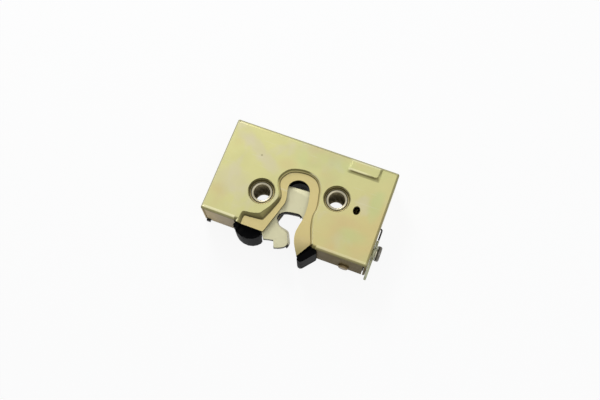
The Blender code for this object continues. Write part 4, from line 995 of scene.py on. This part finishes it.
@dataclass
class Dresser:
    """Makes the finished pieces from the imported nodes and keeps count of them."""

    nodes: Mapping[str, bpy.types.Object]
    weld: float = 2e-6
    bevel_segments: int = 2
    made: list[str] = field(default_factory=list)

    def dress(
        self,
        node: str,
        material: bpy.types.Material,
        body: Body,
        slot: Slot,
        edge: float = 0.0,
        sharp: float = 34.0,
        splits: Sequence[tuple[Place, Place]] = (),
        coil: Span | None = None,
    ) -> bpy.types.Object:
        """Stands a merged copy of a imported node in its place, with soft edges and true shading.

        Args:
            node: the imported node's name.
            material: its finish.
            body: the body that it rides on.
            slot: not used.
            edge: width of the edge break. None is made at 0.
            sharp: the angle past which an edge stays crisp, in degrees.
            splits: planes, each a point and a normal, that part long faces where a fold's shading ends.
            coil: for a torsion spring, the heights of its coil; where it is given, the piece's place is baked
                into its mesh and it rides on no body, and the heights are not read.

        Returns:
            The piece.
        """
        mesh = self._merged(node, splits)
        piece = bpy.data.objects.new(f"{node}_piece", mesh)
        bpy.context.scene.collection.objects.link(piece)
        mesh.shade_smooth()
        mesh.set_sharp_from_angle(angle=np.radians(sharp))
        self._soften(piece, edge, sharp)
        return self.adopt(piece, material, body, slot, node, coil=coil)

    def _merged(self, node: str, splits: Sequence[tuple[Place, Place]]) -> bpy.types.Mesh:
        """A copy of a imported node's mesh, with its corners joined and its long faces parted.

        Args:
            node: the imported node's name.
            splits: planes, each a point and a normal.

        Returns:
            The copy.
        """
        mesh = self.nodes[node].data.copy()
        shape = bmesh.new()
        shape.from_mesh(mesh)
        bmesh.ops.remove_doubles(shape, verts=shape.verts, dist=self.weld)
        for point, normal in splits:
            everything = [*shape.verts, *shape.edges, *shape.faces]
            bmesh.ops.bisect_plane(shape, geom=everything, plane_co=point, plane_no=normal)
        shape.to_mesh(mesh)
        shape.free()
        return mesh

    def _soften(self, piece: bpy.types.Object, edge: float, sharp: float) -> None:
        """Breaks a piece's edges with a bevel and weights its normals by its faces' areas.

        Args:
            piece: the object.
            edge: width of the edge break. None is made at 0.
            sharp: the angle past which an edge gets one, in degrees.
        """
        if edge:
            bevel = piece.modifiers.new("edge break", "BEVEL")
            bevel.width = edge
            bevel.segments = self.bevel_segments
            bevel.limit_method = "ANGLE"
            bevel.angle_limit = np.radians(sharp)
            bevel.use_clamp_overlap = True
            bevel.harden_normals = False
        normals = piece.modifiers.new("weighted normals", "WEIGHTED_NORMAL")
        normals.keep_sharp = not edge

    def adopt(
        self,
        piece: bpy.types.Object,
        material: bpy.types.Material,
        body: Body,
        slot: Slot,
        *nodes: str,
        coil: Span | None = None,
    ) -> bpy.types.Object:
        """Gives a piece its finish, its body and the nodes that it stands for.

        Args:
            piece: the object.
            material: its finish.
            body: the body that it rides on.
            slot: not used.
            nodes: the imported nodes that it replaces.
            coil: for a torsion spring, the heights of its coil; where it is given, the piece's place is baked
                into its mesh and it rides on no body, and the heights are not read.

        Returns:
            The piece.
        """
        piece.data.materials.clear()
        piece.data.materials.append(material)
        if coil:
            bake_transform(piece)
        else:
            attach(piece, body.value)
        if nodes:
            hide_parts(*nodes)
        self.made.append(piece.name)
        LOG.info("%s rides on %s", piece.name, body.value)
        return piece


def grid_mesh(name: str, points: np.ndarray, closed_rows: bool, closed_columns: bool) -> bpy.types.Mesh:
    """A mesh of quads through a grid of points, where rows and columns may run round and close.

    Args:
        name: the mesh's name.
        points: places, in an array of rows by columns by 3.
        closed_rows: whether the last row joins the first.
        closed_columns: whether the last column joins the first.

    Returns:
        The mesh, with smooth faces.
    """
    rows, columns = points.shape[:2]
    index = np.arange(rows * columns).reshape(rows, columns)
    if closed_rows:
        index = np.vstack([index, index[:1]])
    if closed_columns:
        index = np.hstack([index, index[:, :1]])
    quads = np.stack([index[:-1, :-1], index[:-1, 1:], index[1:, 1:], index[1:, :-1]], axis=-1)
    mesh = bpy.data.meshes.new(name)
    mesh.from_pydata(points.reshape(-1, 3).tolist(), [], quads.reshape(-1, 4).tolist())
    mesh.shade_smooth()
    return mesh


@dataclass
class Sleeves:
    """The two threaded sleeves, with the helix that the plain solids leave out.

    Heights are measured from the case's face, and sharp is in degrees.
    """

    radius: float = 0.00645
    bore: float = 0.00485
    thread_depth: float = 0.00070
    pitch: float = 0.0015
    front: float = -0.0023
    rear: float = -0.0223
    edge: float = 0.0003
    mouth_edge: float = 0.00048
    waist: float = 0.0018
    turned_down: float = 0.0002
    collar_radius: float = 0.0077
    collar_low: float = -0.0177
    collar_high: float = -0.0165
    round_steps: int = 96
    thread_steps: int = 10
    sharp: float = 40.0

    def build(self, dresser: Dresser, finish: bpy.types.Material) -> None:
        """Makes both sleeves and stands them for their nodes.

        Args:
            dresser: takes the pieces in.
            finish: their finish.
        """
        for node, place in SLEEVE_PLACES.items():
            mesh = grid_mesh(f"{node}_piece", self._surface(place), True, True)
            mesh.set_sharp_from_angle(angle=np.radians(self.sharp))
            piece = bpy.data.objects.new(f"{node}_piece", mesh)
            bpy.context.scene.collection.objects.link(piece)
            dresser.adopt(piece, finish, Body.CASE, Slot.SLEEVE_STEEL, node)

    def _surface(self, place: Point) -> np.ndarray:
        """The sleeve's closed section turned about its axis, with a helix cut in the bore.

        The bore's radius is its plain radius plus a triangle wave of height along the axis, whose phase turns
        once in a round, so that its crests climb as a thread does. The wave fades out at both mouths.

        Args:
            place: the sleeve's axis, from the middle of the case's face.

        Returns:
            Points by section step and by angle.
        """
        outer = np.array(
            [
                (self.bore + self.edge, self.rear),
                (self.radius - self.edge, self.rear),
                (self.radius, self.rear + self.edge),
                (self.radius, self.collar_low),
                (self.collar_radius, self.collar_low),
                (self.collar_radius, self.collar_high),
                (self.radius, self.collar_high),
                (self.radius, self.front - self.waist - self.turned_down),
                (self.radius - self.turned_down, self.front - self.waist),
                (self.radius - self.turned_down, self.front - self.edge),
                (self.radius - self.turned_down - self.edge, self.front),
                (self.bore + self.mouth_edge, self.front),
            ]
        )
        length = self.front - self.rear - 2 * self.edge
        steps = int(length / self.pitch * self.thread_steps)
        heights = np.linspace(self.front - self.edge, self.rear + self.edge, steps)
        bore = np.stack([np.full(steps, self.bore), heights], axis=1)
        section = np.vstack([outer, bore])
        angles = np.linspace(0.0, 2 * np.pi, self.round_steps, endpoint=False)
        radius = np.repeat(section[:, :1], self.round_steps, axis=1)
        height = np.repeat(section[:, 1:], self.round_steps, axis=1)
        turns = heights[:, None] / self.pitch - angles[None, :] / (2 * np.pi)
        wave = 1.0 - np.abs(2.0 * (turns - np.floor(turns)) - 1.0)
        fade_front = np.clip((self.front - self.edge - heights) / self.pitch, 0.0, 1.0)
        fade_rear = np.clip((heights - self.rear - self.edge) / self.pitch, 0.0, 1.0)
        radius[len(outer):] += self.thread_depth * wave * (fade_front * fade_rear)[:, None]
        x = CASE_MIDDLE[0] + place[0] + radius * np.cos(angles)
        y = CASE_MIDDLE[1] + place[1] + radius * np.sin(angles)
        return np.stack([x, y, CASE_MIDDLE[2] + height], axis=-1)


@dataclass
class Lock:
    """The whole lock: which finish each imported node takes, and how soft its edges are."""

    dresser: Dresser
    case_edge: float = 0.00010
    case_sharp: float = 38.0
    fold_inset: float = 0.00208
    plate_edge: float = 0.00010
    rubber_edge: float = 0.00030
    wire_sharp: float = 60.0
    plated: PlatedSteel = PlatedSteel()
    # The fork's sheared edges that face down the case get strong painted shade
    fork_zinc: PlatedSteel = PlatedSteel("fork_zinc", (0.62, 0.59, 0.38), (0.45, 0.41, 0.25), cut_shade=0.85)
    green_zinc: PlatedSteel = PlatedSteel("green_zinc", (0.42, 0.43, 0.29), (0.32, 0.30, 0.18), 0.35, 0.38)
    # The stud's zinc is darkened with painted shade, like the lower wall that it stands on
    stud_zinc: PlatedSteel = PlatedSteel("stud_zinc", (0.21, 0.15, 0.065), (0.09, 0.065, 0.030), 0.45, 0.28)
    rivet: DarkMetal = DarkMetal("blackened_rivet", (0.150, 0.140, 0.120), (0.36, 0.34, 0.30), 0.26)
    wire: DarkMetal = DarkMetal("oiled_wire", (0.030, 0.027, 0.022), (0.13, 0.12, 0.10), 0.34, 0.35)
    plastic: Moulded = Moulded(
        "black_plastic",
        colour=(0.012, 0.012, 0.013),
        dust=(0.040, 0.038, 0.034),
        roughness=0.42,
        grain=Grain(1400.0, roughness=0.6, strength=0.7),
        index=1.22,
    )
    rubber: Moulded = Moulded(
        "black_rubber",
        colour=(0.0025, 0.0025, 0.0028),
        dust=(0.020, 0.019, 0.018),
        roughness=0.42,
        grain=Grain(1000.0, roughness=0.6, strength=0.7),
        index=1.07,
    )

    def build(self) -> None:
        """Dresses the case, the mechanism, the lever and the buffers in order."""
        plated = self.plated.paint()
        wire = self.wire.paint()
        plastic = self.plastic.paint()
        rubber = self.rubber.paint()
        self._case(plastic)
        Sleeves().build(self.dresser, TurnedSteel().paint())
        self._mechanism(plated, wire, plastic)
        self._lever(plated, wire)
        for node in ("left_buffer", "right_buffer", "end_buffer"):
            self.dresser.dress(node, rubber, Body.CASE, Slot.RUBBER, self.rubber_edge)

    def _case(self, plastic: bpy.types.Material) -> None:
        """The folded case, its stud, and the plate and cover behind it.

        Args:
            plastic: the cover's finish.
        """
        x, y, _ = CASE_MIDDLE
        across = HALF_LENGTH - self.fold_inset
        up = HALF_HEIGHT - self.fold_inset
        splits = [
            ((x - across, y, 0.0), (1.0, 0.0, 0.0)),
            ((x + across, y, 0.0), (1.0, 0.0, 0.0)),
            ((x, y - up, 0.0), (0.0, 1.0, 0.0)),
            ((x, y + up, 0.0), (0.0, 1.0, 0.0)),
        ]
        yellow = PassivatedSteel().paint()
        stud = self.stud_zinc.paint()
        steel = (Body.CASE, Slot.YELLOW_STEEL)
        self.dresser.dress("case_shell", yellow, *steel, self.case_edge, self.case_sharp, splits)
        self.dresser.dress("back_plate", yellow, *steel, self.plate_edge)
        self.dresser.dress("wall_stud", stud, *steel, self.plate_edge)
        self.dresser.dress("rear_cover", plastic, Body.CASE, Slot.BLACK_PLASTIC, self.plate_edge)

    def _mechanism(
        self, plated: bpy.types.Material, wire: bpy.types.Material, plastic: bpy.types.Material
    ) -> None:
        """The fork with its liner, the pawl, and what the sleeves carry.

        Args:
            plated: the finish of the pawl, its stop and the washers.
            wire: the springs' finish.
            plastic: the bushes' finish.
        """
        self.dresser.dress("latch_fork", self.fork_zinc.paint(), Body.FORK, Slot.FORK_STEEL)
        liner = RubbedLiner().paint()
        self.dresser.dress("fork_liner", liner, Body.FORK, Slot.BLACK_PLASTIC, self.plate_edge)
        self.dresser.dress("pawl", plated, Body.PAWL, Slot.FORK_STEEL)
        self.dresser.dress("pawl_stop", plated, Body.CASE, Slot.FORK_STEEL)
        spring = {"sharp": self.wire_sharp, "coil": SPRING_COIL}
        for body in (Body.FORK, Body.PAWL):
            side = body.value
            self.dresser.dress(f"{side}_washer", plated, Body.CASE, Slot.FORK_STEEL)
            self.dresser.dress(f"{side}_spring_bush", plastic, Body.CASE, Slot.BLACK_PLASTIC, self.plate_edge)
            self.dresser.dress(f"{side}_spring", wire, body, Slot.SPRING_STEEL, **spring)

    def _lever(self, plated: bpy.types.Material, wire: bpy.types.Material) -> None:
        """The release lever, its finger, and the rivet, washer and spring that hold it.

        Args:
            plated: the finger's finish.
            wire: the spring's finish.
        """
        green = self.green_zinc.paint()
        self.dresser.dress("release_lever", green, Body.LEVER, Slot.FORK_STEEL)
        self.dresser.dress("lever_finger", plated, Body.LEVER, Slot.FORK_STEEL)
        self.dresser.dress("lever_washer", green, Body.CASE, Slot.FORK_STEEL)
        self.dresser.dress("lever_rivet", self.rivet.paint(), Body.CASE, Slot.DARK_STEEL)
        self.dresser.dress("lever_spring", wire, Body.CASE, Slot.SPRING_STEEL, sharp=self.wire_sharp)


def main() -> None:
    """Builds the studio, dresses the lock and reports what was made."""
    logging.basicConfig(level=logging.INFO, format="%(name)s: %(message)s")
    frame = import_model()
    bpy.context.scene.view_settings.view_transform = "Standard"
    Studio().build()
    dresser = Dresser(frame["nodes"])
    Lock(dresser).build()
    bpy.context.view_layer.update()
    LOG.info("%d pieces", len(dresser.made))


if __name__ == "__main__":
    main()
